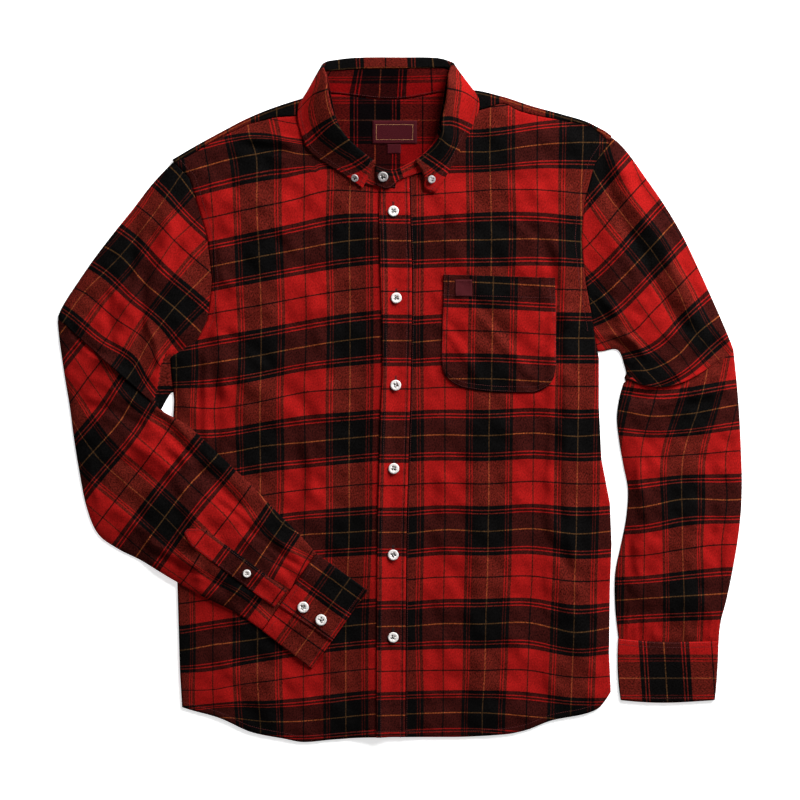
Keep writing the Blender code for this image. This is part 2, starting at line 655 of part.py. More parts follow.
def make_pocket():
    def height(x, y):
        return left_front_under(x, y) + CLOTH + LIFT

    panel(
        "pocket", spaced((0, 0.12, 0.88, 1), (3, 6, 3)), spaced((52, 124), (5,)),
        lambda y: 49 + 2 * smooth((y - 40) / 110), lambda y: 184 - smooth((y - 90) / 60),
        lambda x: read(POCKET_FOOT, x),
        lambda x: POCKET_HEAD[0] + (POCKET_HEAD[1] - POCKET_HEAD[0]) * (x - 50) / 133,
        height, PLAID, CLOTH,
    )


def make_patch(name, x0, x1, y0, y1, height):
    """A small flat label, bare."""
    points = []
    for j in range(4):
        for i in range(4):
            x, y = x0 + (x1 - x0) * i / 3, y0 + (y1 - y0) * j / 3
            points.append((x, y, height(x, y)))
    walled(piece(name, points, grid_faces(4, 4), BURGUNDY), LABEL_WALL, 1)


def make_labels():
    make_patch("pocket_patch", 65, 85, 122, 142,
               lambda x, y: left_front_under(x, y) + 2 * CLOTH + 2 * LIFT)
    make_patch("neck_label", -33, 20, 302.4, 330, lambda x, y: bed(x, y) + CLOTH + GAP)
    make_patch("size_tab", -15, 1, 291, 302, lambda x, y: bed(x, y) + CLOTH + GAP)


# ---------------------------------------------------------------- buttons
def make_button(button, foot):
    """A turned disc with a raised rim and a dished middle."""
    radius = button.diameter / 2
    profile = [(0.78, 0.0), (1.0, 0.42), (0.97, 0.86), (0.84, 1.0), (0.66, 0.8)]
    sides = 16
    points = []
    for reach, rise in profile:
        for k in range(sides):
            angle = 2 * math.pi * k / sides
            points.append((radius * reach * math.cos(angle), radius * reach * math.sin(angle),
                           BUTTON_HEIGHT * rise))
    faces = grid_faces(sides, len(profile), closed=True)
    faces.append(tuple(reversed(range(sides))))
    faces.append(tuple(range(sides * (len(profile) - 1), sides * len(profile))))
    made = piece(button.name, points, faces, PEARL)
    made.location = Vector((button.x, button.y, foot)) * MM
    made.rotation_euler = (math.radians(button.lean), math.radians(button.tilt), 0)
    return made


def make_buttons():
    for button in BUTTONS:
        foot = button.z
        if "cuff" in button.name:
            foot = cuff_button_height(button.x, button.y) + GAP
        elif "placket" in button.name:
            foot = forearm_top(button.x, button.y) + 2 * GAP + CLOTH + GAP
        elif "front" in button.name:
            foot = band_under(button.x, button.y) + BAND_WALL + GAP
        make_button(button, foot)


def main():
    for old in list(bpy.data.objects):
        bpy.data.objects.remove(old)
    make_back()
    make_yoke()
    make_fronts()
    make_pocket()
    make_stand()
    make_leaf()
    make_labels()
    make_sleeve("sleeve_right", SLEEVE_RIGHT, LEFT_EDGE, RIGHT_LEVELS, -GAP, sleeve_bed)
    make_sleeve("sleeve_left", SLEEVE_LEFT, RIGHT_EDGE, LEFT_LEVELS, GAP, lambda x, y: 0.0)
    make_sleeve_placket()
    make_cuff_right()
    make_cuff_left()
    make_buttons()


main()
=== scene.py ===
"""A man's flannel shirt, buttoned and laid flat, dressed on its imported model.

Lengths are in millimetres until a mesh is made, and weave coordinates are in repeats or metres of cloth.
+X is the wearer's left, +Y points to the collar, +Z is up, and the back rests on z = 0.
"""
import logging
import math
from dataclasses import dataclass
from enum import Enum
from typing import Callable, NamedTuple, Optional, Sequence

import bpy
import numpy as np
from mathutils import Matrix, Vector
from mathutils.geometry import delaunay_2d_cdt


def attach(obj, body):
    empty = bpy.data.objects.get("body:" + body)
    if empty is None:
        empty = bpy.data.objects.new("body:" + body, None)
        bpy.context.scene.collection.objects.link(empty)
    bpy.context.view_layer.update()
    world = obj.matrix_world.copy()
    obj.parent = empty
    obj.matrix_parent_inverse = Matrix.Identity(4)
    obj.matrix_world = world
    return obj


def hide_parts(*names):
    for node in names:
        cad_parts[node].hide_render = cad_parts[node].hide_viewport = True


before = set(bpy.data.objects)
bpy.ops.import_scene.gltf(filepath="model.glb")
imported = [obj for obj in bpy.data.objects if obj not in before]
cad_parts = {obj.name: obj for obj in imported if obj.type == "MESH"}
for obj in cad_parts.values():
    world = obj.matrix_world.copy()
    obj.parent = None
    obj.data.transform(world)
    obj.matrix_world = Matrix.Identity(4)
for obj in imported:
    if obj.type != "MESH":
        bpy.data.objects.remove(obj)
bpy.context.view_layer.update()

MM = 0.001
LOG = logging.getLogger("flannel_shirt")
Array = np.ndarray
Height = Callable[[Array, Array], Array]


# ================================================================ tables
class Pin(NamedTuple):
    """A crossing of the plaid: where it lies, and its place in repeats across the warp and the weft."""

    x: float
    y: float
    warp: float
    weft: float


class Crease(NamedTuple):
    """A soft fold from one point to another; a negative height is a trough, and bow bends it sideways."""

    x0: float
    y0: float
    x1: float
    y1: float
    width: float
    height: float
    bow: float = 0.0


class Station(NamedTuple):
    """A line across a sleeve from its outer to its inner edge, as in the solids."""

    ox: float
    oy: float
    ix: float
    iy: float
    bow: float
    full: float


class Lip(NamedTuple):
    """One row of a fold that laps the cloth below it: how far its two layers move on, and its height."""

    under: float
    over: float
    rise: float
    cloth: float


class Rim(NamedTuple):
    """A line up the collar stand, from the neck seam to the edge under the leaf."""

    lx: float
    ly: float
    lz: float
    ux: float
    uy: float
    uz: float


class Leaf(NamedTuple):
    """A line across the collar leaf, from its roll to its free edge."""

    rx: float
    ry: float
    fx: float
    fy: float
    roll: float
    free: float
    turn: float
    seam: float


class Bend(Enum):
    """How a table is read between its rows."""

    STRAIGHT = 0
    SOFT = 1


def rows_of(kind: type, *rows: tuple) -> tuple:
    """A table whose rows are of one kind, which names their columns."""
    return tuple(kind(*row) for row in rows)


def crossings(*rows: tuple) -> tuple:
    """Pins from rows that give a weft's place, then the x, y and warp's place of each pin on it."""
    return tuple(Pin(*place, weft) for weft, *places in rows for place in places)


def travelled(line: Array) -> Array:
    """How far along a line each of its points lies."""
    return np.concatenate(([0.0], np.cumsum(np.linalg.norm(np.diff(line, axis=0), axis=1))))


def smooth(value: Array) -> Array:
    """0 below 0, 1 above 1, and a soft step between."""
    value = np.clip(value, 0.0, 1.0)
    return value * value * (3 - 2 * value)


@dataclass(frozen=True)
class Edge:
    """An outline as one coordinate read at another."""

    rows: tuple
    bend: Bend = Bend.SOFT

    def __call__(self, at: Array) -> Array:
        """Reads the table, without overshoot between its rows.

        Args:
            at: Values of the first column.

        Returns:
            The second column at those values.
        """
        keys, values = np.array(self.rows, float).T
        at = np.clip(np.asarray(at, float), keys[0], keys[-1])
        if self.bend is Bend.STRAIGHT:
            return np.interp(at, keys, values)
        step = np.diff(keys)
        chord = np.diff(values) / step
        slopes = np.concatenate(([chord[0]], np.zeros(len(keys) - 2), [chord[-1]]))
        before, after = chord[:-1], chord[1:]
        same = before * after > 0
        slopes[1:-1] = np.where(same, 2 * before * after / np.where(same, before + after, 1.0), 0.0)
        place = np.clip(np.searchsorted(keys, at, side="right") - 1, 0, len(keys) - 2)
        span = step[place]
        t = (at - keys[place]) / span
        return (
            values[place] * (1 + 2 * t) * (1 - t) ** 2
            + values[place + 1] * t * t * (3 - 2 * t)
            + span * (slopes[place] * t * (1 - t) ** 2 - slopes[place + 1] * t * t * (1 - t))
        )


def between(rows: Sequence, steps: int) -> Array:
    """Puts new rows of a table on a smooth curve through its rows.

    Args:
        rows: The table.
        steps: How many steps each stretch between two rows takes.

    Returns:
        An array of rows.
    """
    table = np.array(rows, float)
    last = len(table) - 1
    result = []
    for k in range(last):
        p, q, r, s = (table[min(max(k + move, 0), last)] for move in (-1, 0, 1, 2))
        for step in range(steps):
            t = step / steps
            result.append(0.5 * (2 * q + (r - p) * t + (2 * p - 5 * q + 4 * r - s) * t * t
                                 + (3 * q - p - 3 * r + s) * t ** 3))
    result.append(table[last])
    return np.array(result)


def resampled(rows: Array, pitch: float, columns: slice = slice(0, 2)) -> Array:
    """Rows at an even spacing along a dense table.

    Args:
        rows: The dense rows.
        pitch: The wanted spacing, in mm.
        columns: The columns that hold the place a spacing is measured by.

    Returns:
        New rows, the first and the last one kept.
    """
    travel = travelled(rows[:, columns])
    count = max(int(round(travel[-1] / pitch)), 1)
    wanted = np.linspace(0, travel[-1], count + 1)
    return np.array([np.interp(wanted, travel, column) for column in rows.T]).T


LEFT_EDGE = Edge((                      # (y, x): side seam, then the right armhole
    (-370, -257), (-320, -260), (-216, -263), (-100, -266), (-22, -268), (0, -267), (20, -269),
    (50, -272), (70, -240), (95, -227.5), (140, -222), (190, -227.5), (235, -240.5), (262, -249),
    (279, -265), (283, -268.8),
), Bend.STRAIGHT)
RIGHT_EDGE = Edge((                     # (y, x): side seam, then the left armhole
    (-370, 250), (-345, 249), (-300, 247), (-221, 248), (-170, 250), (-122, 248), (-70, 238),
    (-8, 235), (50, 235), (70, 230.5), (95, 227.3), (140, 219), (190, 214), (235, 217.7),
    (279, 230), (306.7, 248), (313, 250),
), Bend.STRAIGHT)
HEM = Edge((                            # (x, y): the shirt tails
    (-270, -358), (-251, -365), (-215, -375), (-173, -393), (-137, -400), (-114, -404),
    (-78, -401), (-27, -398), (59, -398), (123, -395), (145, -391), (181, -378), (217, -371),
    (233, -365), (243, -354), (252, -340),
))
SHOULDER = Edge((                       # (x, y): the yoke's fold, with the neck seam in its middle
    (-268, 283), (-237, 301), (-208, 317), (-179, 332), (-155, 342), (-115, 355), (-96, 360),
    (-78, 361), (-51, 358), (-24, 355), (1, 355), (28, 359), (52, 363), (84, 365), (119, 358),
    (157, 346), (190, 337), (220, 328), (234, 321), (250, 313),
))
YOKE_FRONT = Edge((                     # (x, y): the yoke's seam on the front
    (-268, 280.5), (-252, 287), (-232, 299), (-210, 311.5), (-189, 321.5), (-179, 326), (-163, 330),
    (-147, 334), (-123, 335.5), (-104, 337), (86, 341), (92, 342), (106, 346), (121.5, 350.5),
    (141.6, 341.6), (159.3, 337), (177, 333.4), (186.4, 331.6), (206.5, 328), (224, 324.5),
    (236, 316), (246, 308), (250, 307),
))
NECKLINE = Edge((                       # (x, y): the stand's seam on the fronts
    (-104, 330), (-98, 302), (-90, 290), (-80, 279), (-62, 268), (-38, 259), (-26, 255),
    (-13, 253), (0, 262), (12, 266), (26, 271), (44, 278), (60, 289), (73, 302), (80, 320),
    (86, 345),
))
BAND_LEFT = Edge((                      # (y, x): the front band's free edge
    (-400, -28), (-314, -28), (-142, -27), (-24, -24), (31, -21), (103, -22), (157, -24),
    (215, -25), (262, -24),
), Bend.STRAIGHT)
BAND_RIGHT = Edge((                     # (y, x): its seam on the left front
    (-400, 6), (-201, 7), (-135, 8), (0, 12), (103, 14), (157, 14), (215, 12), (262, 11),
), Bend.STRAIGHT)
POCKET_FOOT = Edge((                    # (x, y)
    (48, 44), (52, 31), (64, 19), (80, 13), (119, 9), (156, 8.5), (171, 14), (181, 26), (184, 40),
))

FRONT_FOLDS = rows_of(
    Crease, (167, 198, 186, 108, 12, -2.6, -3), (186, 112, 187, -24, 10, -3.0),
    (186, -16, 203, -236, 11, -3.0, 6), (96, -71, 203, -201, 13, -2.8, 3), (50, 88, 94, 18, 10, 2.0, -4),
    (103, 89, 165, 19, 11, 2.4, 3), (84, 124, 140, 66, 9, -1.8, 3), (144, -242, 192, -270, 9, -2.4, 2),
    (-214, 95, -206, -5, 13, 2.4), (-113, -38, -103, -114, 12, 2.2), (-108, 114, -92, 66, 12, 2.2),
    (-150, 208, -120, 172, 12, 2.0), (29, 150, 37, 20, 9, 1.6, 3), (130, 214, 160, 186, 10, 2.2),
    (198, 205, 190, -50, 24, 2.8, 2), (190, -40, 216, -310, 24, 3.2, 9), (160, -20, 158, -330, 18, -1.8, 5),
    (150, -230, 205, -292, 11, -2.0, 3), (-226, 60, -120, -20, 19, 3.2), (222, 66, 130, -40, 19, 2.6),
    (-178, 300, -108, 290, 7, -3.6, 1), (-198, 309, -122, 304, 9, 3.6, -1), (-236, 64, -238, -12, 6, -2.4),
    (-227, 52, -227, -60, 7, 1.9, 2), (-218, 34, -216, -66, 7, -1.5, -2), (-205, -290, -214, -380, 23, 2.6),
    (-90, 20, -92, -110, 23, 2.4), (-150, -320, -158, -390, 19, 2.1), (88, -40, 96, -390, 23, 2.2),
    (-170, 240, -150, 60, 25, 2.1), (170, -10, 168, -380, 13, -2.4, 6), (214, 20, 212, -180, 12, -1.6, -8),
    (219, 95, 150, 30, 9, -2.1, 6), (226, 120, 176, 96, 8, 1.8, -3), (-216, 84, -150, 40, 9, -2.1, -5),
    (-212, 150, -168, 118, 9, 1.6, 4), (-60, 180, -66, 10, 15, -1.4, 5),
    (-128, -30, -126, -150, 16, -1.6, -7), (40, -60, 44, -360, 12, -1.4, 4), (66, 250, 74, 160, 14, 1.4, 4),
    (160, 268, 196, 150, 13, 1.4, 10), (-120, 250, -116, 130, 14, -1.3, -6),
    (-190, -190, -186, -290, 14, 1.6, 5), (-100, -240, -104, -380, 14, -1.4, -5),
    (130, -250, 60, -330, 18, 1.3, 8), (-240, -120, -232, -240, 11, 1.4, 3),
)


@dataclass(frozen=True)
class BodyForm:
    """Where each layer of the body lies: clearances and heights."""

    cloth: float = 1.2
    band_wall: float = 1.8
    cuff_wall: float = 1.5
    gap: float = 0.3
    lift: float = 0.6
    collar_bed: float = 1.6
    puff: float = 2.0
    keel: float = 5.4
    centre_x: float = -9.0
    back_seam_y: float = 250.0
    neck_left_x: float = -104.0
    neck_right_x: float = 86.0
    ripple: float = 0.72
    waves: tuple = ((96, 0.3, 0.4), (71, 1.2, 2.1), (58, 2.2, 4.0), (47, 0.8, 5.2), (38, 2.7, 1.1),
                    (31, 1.6, 3.3), (24, 0.7, 2.4))

    @property
    def layer(self) -> float:
        """How much one more layer of cloth raises what lies on it."""
        return self.cloth + self.gap

    def bed(self, x: Array, y: Array) -> Array:
        """How far the collar's leaf lifts the cloth round the neck."""
        return self.collar_bed * smooth((y - 262) / 28) * (1 - smooth((abs(x - self.centre_x) - 118) / 44))

    def undulation(self, x: Array, y: Array) -> Array:
        """The cloth's own faint waves, about 0 on average."""
        total = self.ground(x, y)
        for length, heading, phase in self.waves:
            along = (x * math.cos(heading) + y * math.sin(heading)) * 2 * math.pi / length
            bent = along + phase + 1.3 * np.sin((x * math.sin(heading) - y * math.cos(heading)) / 61 + phase)
            total = total + np.sin(bent)
        return total * self.ripple * 0.55

    def folds(self, x: Array, y: Array, creases: Sequence[Crease]) -> Array:
        """Adds up soft folds.

        Args:
            x: Places across, in mm.
            y: Places along, in mm.
            creases: The folds.

        Returns:
            Heights in mm.
        """
        total = self.ground(x, y)
        for fold in creases:
            dx, dy = fold.x1 - fold.x0, fold.y1 - fold.y0
            length = math.hypot(dx, dy)
            along = ((x - fold.x0) * dx + (y - fold.y0) * dy) / length
            share = np.clip(along / length, 0, 1)
            aside = ((x - fold.x0) * dy - (y - fold.y0) * dx) / length - 4 * fold.bow * share * (1 - share)
            soft = min(length * 0.35, 60.0)
            ends = smooth((along + soft * 0.4) / soft) * smooth((length + soft * 0.4 - along) / soft)
            total = total + fold.height * ends * (1 - smooth(abs(aside) / fold.width))
        return total

    def room(self, x: Array, y: Array) -> Array:
        """How free a front is to stand off the back: 0 at its seams, 1 inside."""
        low = smooth((-215 - y) / 40)
        side = smooth((x - LEFT_EDGE(y)) / (15 + 60 * low)) * smooth((RIGHT_EDGE(y) - x) / (30 - 12 * low))
        left, right = BAND_LEFT(y), BAND_RIGHT(y)
        band = np.minimum(abs(x - left), abs(x - right))
        away = np.where((left < x) & (x < right), 0.0, smooth((band - 4) / 36))
        hem = smooth((y - HEM(x)) / 24)
        seam = smooth((YOKE_FRONT(x) - y) / 18)
        collar = smooth((y - 232) / 30) * (1 - smooth((abs(x - self.centre_x) - 104) / 18))
        return side * away * (0.25 + 0.75 * hem) * seam * (1 - 0.62 * collar)

    def spine(self, x: Array, y: Array) -> Array:
        """The rise along the front band's free edge, where the fronts lie double."""
        aside = x - BAND_LEFT(y) - 1
        rise = 1 - smooth(np.where(aside < 0, -aside / 34, aside / 18))
        return self.keel * rise * (1 - smooth((y - 196) / 34))

    def front_under(self, x: Array, y: Array) -> Array:
        """Underside of a front where it lies on the back."""
        stand_off = self.puff + self.folds(x, y, FRONT_FOLDS) + self.undulation(x, y)
        seam = 0.16 * self.undulation(x * 2.6, y * 2.6)
        bed = self.layer + self.bed(x, y) + self.spine(x, y)
        return bed + self.room(x, y) * 0.5 * (stand_off + np.sqrt(stand_off ** 2 + 0.5)) + abs(seam)

    def front_top(self, x: Array, y: Array) -> Array:
        """Upper face of a front."""
        return self.front_under(x, y) + self.cloth

    def left_front_top(self, x: Array, y: Array) -> Array:
        """Upper face of the left front, which climbs over the right one beside the band."""
        over = 1 - smooth((x - BAND_RIGHT(y) - 3) / 26)
        return self.front_top(x, y) + self.layer * over

    def band_top(self, x: Array, y: Array) -> Array:
        """Upper face of the front band."""
        return self.front_under(x, y) + self.layer + self.band_wall

    def yoke_top(self, x: Array, y: Array) -> Array:
        """Upper face of the yoke below the neck, where the labels lie."""
        return self.bed(x, y) + self.layer

    def pocket_top(self, x: Array, y: Array) -> Array:
        """Upper face of the pocket."""
        return self.left_front_top(x, y) + self.lift + self.cloth

    def sleeve_bed(self, x: Array, y: Array) -> Array:
        """What the right sleeve lies on: the ground, then the body from its side seam on."""
        edge = LEFT_EDGE(y)
        climb = smooth((x - edge + 46) / 26) * smooth((6 - y) / 18)
        return climb * (self.front_top(np.maximum(x, edge), y) + self.lift)

    def ground(self, x: Array, y: Array) -> Array:
        """The surface that the shirt lies on."""
        return np.zeros(np.broadcast(x, y).shape)


# ================================================================ the weave's run over a piece
@dataclass(frozen=True)
class Sett:
    """The plaid's repeat in mm, and how it is laid over a piece."""

    warp: float = 105.4
    weft: float = 112.6

    def metres(self, repeats: Array) -> Array:
        """Metres of cloth for places in repeats."""
        return repeats * np.array((self.warp, self.weft)) * MM


SETT = Sett()


class Pinned:
    """Weave coordinates that pass by the pins and bend as little as they can between them."""

    reach = 100.0
    ease = 0.0012

    def __init__(self, places: Array, values: Array) -> None:
        """Solves for the smoothest surface.

        Args:
            places: The pins' places, a row each.
            values: What the surface is to be there, a row each.
        """
        self.places = np.asarray(places, float) / self.reach
        count = len(self.places)
        system = np.zeros((count + 3, count + 3))
        system[:count, :count] = self.kernel(self.places) + self.ease * np.eye(count)
        system[:count, count] = 1.0
        system[:count, count + 1:] = self.places
        system[count:, :count] = system[:count, count:].T
        target = np.zeros((count + 3, np.shape(values)[1]))
        target[:count] = values
        self.weights = np.linalg.solve(system, target)

    def kernel(self, at: Array) -> Array:
        """The plate's response at places to a load at each pin."""
        square = ((at[:, None, :] - self.places[None, :, :]) ** 2).sum(2)
        return 0.5 * square * np.log(square + 1e-12)

    def __call__(self, x: Array, y: Array) -> Array:
        """The surface's values at a grid of places."""
        at = np.stack((np.ravel(x), np.ravel(y)), 1) / self.reach
        count = len(self.places)
        flat = self.kernel(at) @ self.weights[:count] + self.weights[count] + at @ self.weights[count + 1:]
        return flat.reshape(*np.shape(x), -1)

    @classmethod
    def cloth(cls, pins: Sequence[Pin]) -> "Pinned":
        """A surface through the crossings of a table."""
        rows = np.array(pins, float)
        return cls(rows[:, :2], rows[:, 2:])


# ================================================================ meshes
@dataclass
class Sheet:
    """A grid of points on the outer face of a piece of cloth, row by row.

    choice says for each face of the grid which of the weaves runs over it, inner which of the
    weaves get painted shade, darkened as if the collar shadowed them.
    """

    name: str
    points: Array
    weaves: list
    choice: Optional[Array] = None
    closed: bool = False
    turned: bool = False
    keep: Optional[Array] = None
    inner: tuple = ()

    def build(self, finish: bpy.types.Material, wall: float, side: float = -1.0) -> bpy.types.Object:
        """Makes the object.

        Args:
            finish: Its material.
            wall: Thickness of the cloth in mm.
            side: -1 puts the wall behind the points, 0 half each way.

        Returns:
            The object, at the origin.
        """
        rows, columns = self.points.shape[:2]
        row, column = np.meshgrid(
            np.arange(rows - 1), np.arange(columns if self.closed else columns - 1), indexing="ij")
        row, column = row.ravel(), column.ravel()
        after = (column + 1) % columns
        corners = np.stack((row * columns + column, row * columns + after,
                            (row + 1) * columns + after, (row + 1) * columns + column), 1)
        chosen = (self.choice[row, column] if self.choice is not None else np.zeros(len(row), int))
        if self.keep is not None:
            kept = self.keep.ravel()[corners].all(1)
            corners, chosen = corners[kept], chosen[kept]
        if self.turned:
            corners = corners[:, ::-1]
        weave = np.stack([laid.reshape(-1, 2) for laid in self.weaves])
        laid = weave[chosen[:, None], corners]
        used, places = np.unique(corners, return_inverse=True)
        points = self.points.reshape(-1, 3)[used] * MM
        mesh = bpy.data.meshes.new(self.name)
        mesh.from_pydata(points.tolist(), [], places.reshape(-1, 4).tolist())
        mesh.uv_layers.new(name="cloth").data.foreach_set("uv", laid.ravel())
        # Faces of the inner weaves are marked for the plaid's painted shade.
        if self.inner:
            mark = mesh.attributes.new("inner", "FLOAT", "FACE")
            mark.data.foreach_set("value", np.isin(chosen, self.inner).astype(float))
        mesh.shade_smooth()
        return placed(self.name, mesh, finish, wall, side)

    def rest(self, plan: Array, reach: float = 3.0) -> Array:
        """How high something lies on this sheet.

        Args:
            plan: Places, x and y last.
            reach: How far round a place the sheet's height counts, in mm.

        Returns:
            Heights in mm.
        """
        points = self.points.reshape(-1, 3)
        heights = []
        for place in plan.reshape(-1, 2):
            away = ((points[:, :2] - place) ** 2).sum(1)
            weight = np.exp(-away / reach ** 2) + 1e-12
            heights.append((weight * points[:, 2]).sum() / weight.sum())
        return np.array(heights).reshape(plan.shape[:-1])

    def inset(self, side: str, distance: float, lift: float = 0.05) -> Array:
        """A line on the sheet beside one of its edges.

        Args:
            side: Which edge: first or last for a column, foot or head for a row.
            distance: How far from the edge it runs, in mm.
            lift: How far above the points it lies.

        Returns:
            Points in mm.
        """
        grid = self.points if side in ("first", "last") else self.points.swapaxes(0, 1)
        if side in ("last", "head"):
            grid = grid[:, ::-1]
        line = []
        for row in grid:
            travel = travelled(row)
            line.append([np.interp(distance, travel, row[:, axis]) for axis in range(3)])
        return np.array(line) + np.array((0, 0, lift))


def placed(name: str, mesh: bpy.types.Mesh, finish: bpy.types.Material, wall: float = 0.0,
           side: float = -1.0) -> bpy.types.Object:
    """Links a mesh in mm-made metres as an object at the origin.

    Args:
        name: The object's name.
        mesh: Its mesh.
        finish: Its material.
        wall: Thickness in mm that a Solidify gives it, or 0.
        side: The Solidify's offset.

    Returns:
        The object.
    """
    mesh.materials.append(finish)
    made = bpy.data.objects.new(name, mesh)
    bpy.context.scene.collection.objects.link(made)
    if wall:
        solidify = made.modifiers.new("wall", "SOLIDIFY")
        solidify.thickness = wall * MM
        solidify.offset = side
        solidify.use_rim = True
    return made


def stretched(columns: Array, rows: Array, left: Edge, right: Edge, bottom: Callable, top: Callable) -> Array:
    """The x and y of a grid stretched between four edges.

    Args:
        columns: Shares across, from the left edge to the right one.
        rows: Shares up, from the bottom edge to the top one.
        left: The left edge's x at a y.
        right: The right edge's x at a y.
        bottom: The bottom edge's y at an x.
        top: The top edge's y at an x.

    Returns:
        Rows, columns, 2.
    """
    part, share = np.meshgrid(columns, rows)
    y = share * 600 - 380
    for _ in range(14):
        x = left(y) + (right(y) - left(y)) * part
        head = top(x)
        level = head.max()
        y = bottom(x) + (level - bottom(x)) * share + (head - level) * share ** 5
    return np.stack((x, y), 2)


def raised(plan: Array, height: Height) -> Array:
    """Adds a height to each place of a plan."""
    return np.concatenate((plan, height(plan[..., 0], plan[..., 1])[..., None]), 2)


def eased(count: int, soft: float = 0.35) -> Array:
    """Shares from 0 to 1 that lie closer together at both ends."""
    even = np.linspace(0, 1, count)
    return even - soft * np.sin(2 * math.pi * even) / (2 * math.pi)


def rolled(inset: Array, half: float, degrees: Sequence[float], outer: bool) -> list:
    """Goes round a side of a flattened tube.

    Args:
        inset: Half the tube's thickness as a share of its width, for each row.
        half: Half its thickness in mm.
        degrees: How far the round has turned below the middle at each point.
        outer: Whether the side is the one with a share of 1.

    Returns:
        The share across and the rise of each point.
    """
    ring = []
    for turn in np.radians(degrees):
        share = inset * (1 - math.cos(turn))
        ring.append((1 - share if outer else share, half - half * math.sin(turn)))
    return ring


# ================================================================ shading
def linear(colour: Sequence[float]) -> tuple:
    """A linear RGBA from 0 to 255 display values."""
    return tuple((v / 255 / 12.92 if v / 255 <= 0.04045 else ((v / 255 + 0.055) / 1.055) ** 2.4)
                 for v in colour) + (1.0,)


class Wire:
    """A socket whose arithmetic adds Math nodes to its tree."""

    def __init__(self, shader: "Shader", socket: bpy.types.NodeSocket) -> None:
        """Wraps a socket of a shader's tree."""
        self.shader = shader
        self.socket = socket

    def _with(self, operation: str, *values: object) -> "Wire":
        """A Math node on this and other values."""
        return self.shader.node("ShaderNodeMath", dict(operation=operation), *values)

    def __add__(self, other: object) -> "Wire":
        """Sum."""
        return self._with("ADD", self, other)

    __radd__ = __add__

    def __sub__(self, other: object) -> "Wire":
        """Difference."""
        return self._with("SUBTRACT", self, other)

    def __rsub__(self, other: object) -> "Wire":
        """Difference from a number."""
        return self._with("SUBTRACT", other, self)

    def __mul__(self, other: object) -> "Wire":
        """Product."""
        return self._with("MULTIPLY", self, other)

    __rmul__ = __mul__

    def __truediv__(self, other: object) -> "Wire":
        """Quotient."""
        return self._with("DIVIDE", self, other)

    def fold(self) -> "Wire":
        """Distance from the nearest whole number."""
        return self._with("PINGPONG", self, 0.5)

    def sine(self) -> "Wire":
        """Sine."""
        return self._with("SINE", self)

    def least(self, floor: float) -> "Wire":
        """The value, or a floor where it is below that."""
        return self._with("MAXIMUM", self, floor)

    def past(self, place: float, width: float) -> "Wire":
        """0 before a place and 1 past it, with a ramp of a width between."""
        return self.shader.node("ShaderNodeMath", dict(operation="MULTIPLY_ADD", use_clamp=True),
                                self, 1 / width, 0.5 - place / width)


class Shader:
    """A material's tree, with one method that adds its nodes."""

    def __init__(self, name: str) -> None:
        """Starts an empty material with a Principled shader."""
        self.material = bpy.data.materials.new(name)
        self.material.use_nodes = True
        self.tree = self.material.node_tree
        self.tree.nodes.clear()
        output = self.tree.nodes.new("ShaderNodeOutputMaterial")
        self.surface = self.tree.nodes.new("ShaderNodeBsdfPrincipled")
        self.tree.links.new(self.surface.outputs[0], output.inputs["Surface"])

    def node(self, kind: str, settings: Optional[dict] = None, *values: object, out: object = 0,
             **named: object) -> Wire:
        """Adds a node.

        Args:
            kind: Its type.
            settings: Its properties, set before its sockets.
            values: Values or wires of its first sockets, None to skip one.
            out: The output to return, by place or name.
            named: Values or wires of sockets by name, with _ for a space.

        Returns:
            The wrapped output.
        """
        made = self.tree.nodes.new(kind)
        for key, value in (settings or {}).items():
            setattr(made, key, value)
        sockets = list(enumerate(values)) + [(key.replace("_", " "), value) for key, value in named.items()]
        for key, value in sockets:
            if value is not None:
                self.feed(made.inputs[key], value)
        return Wire(self, made.outputs[out])

    def feed(self, socket: bpy.types.NodeSocket, value: object) -> None:
        """Links a wire to a socket or sets a value on it."""
        if isinstance(value, Wire):
            self.tree.links.new(value.socket, socket)
        else:
            socket.default_value = value

    def mix(self, factor: object, first: object, second: object, blend: str = "MIX") -> Wire:
        """Mixes two colours."""
        made = self.tree.nodes.new("ShaderNodeMix")
        made.data_type = "RGBA"
        made.blend_type = blend
        for socket, value in ((0, factor), (6, first), (7, second)):
            self.feed(made.inputs[socket], value)
        return Wire(self, made.outputs[2])

    def noise(self, at: Wire, scale: float, detail: float = 2.0, rough: float = 0.5) -> Wire:
        """Noise of about 0.5 at a place."""
        return self.node("ShaderNodeTexNoise", dict(noise_dimensions="3D"), Vector=at, Scale=scale,
                         Detail=detail, Roughness=rough)

    def bump(self, height: Wire, distance: float) -> Wire:
        """A bumped normal from a height of 0 to 1 and its size in metres."""
        return self.node("ShaderNodeBump", None, Height=height, Distance=distance, Strength=1.0)

    def weave(self) -> tuple:
        """The piece's own weave coordinates, then each of the two by itself."""
        cloth = self.node("ShaderNodeUVMap", dict(uv_map="cloth"))
        parts = self.node("ShaderNodeSeparateXYZ", None, cloth)
        return cloth, parts, Wire(self, parts.socket.node.outputs[1])

    def place(self) -> Wire:
        """Coordinates in the object."""
        return self.node("ShaderNodeTexCoord", None, out="Object")

    def shades(self, factor: Wire, colour: tuple, bright: float) -> Wire:
        """A colour between a darker and a brighter shade of itself."""
        return self.mix(factor, linear([v * 0.72 for v in colour]),
                        linear([min(v * bright, 255) for v in colour]))

    def finish(self, constants: dict, **varied: Wire) -> bpy.types.Material:
        """Sets the shader's sockets.

        Args:
            constants: Values by socket name.
            varied: Wires by socket name, with _ for a space.

        Returns:
            The material.
        """
        for name, value in constants.items():
            self.surface.inputs[name].default_value = value
        for name, wire in varied.items():
            self.feed(self.surface.inputs[name.replace("_", " ")], wire)
        return self.material


class Band(NamedTuple):
    """A stretch of red threads, in mm from a stripe's middle."""

    start: float
    end: float


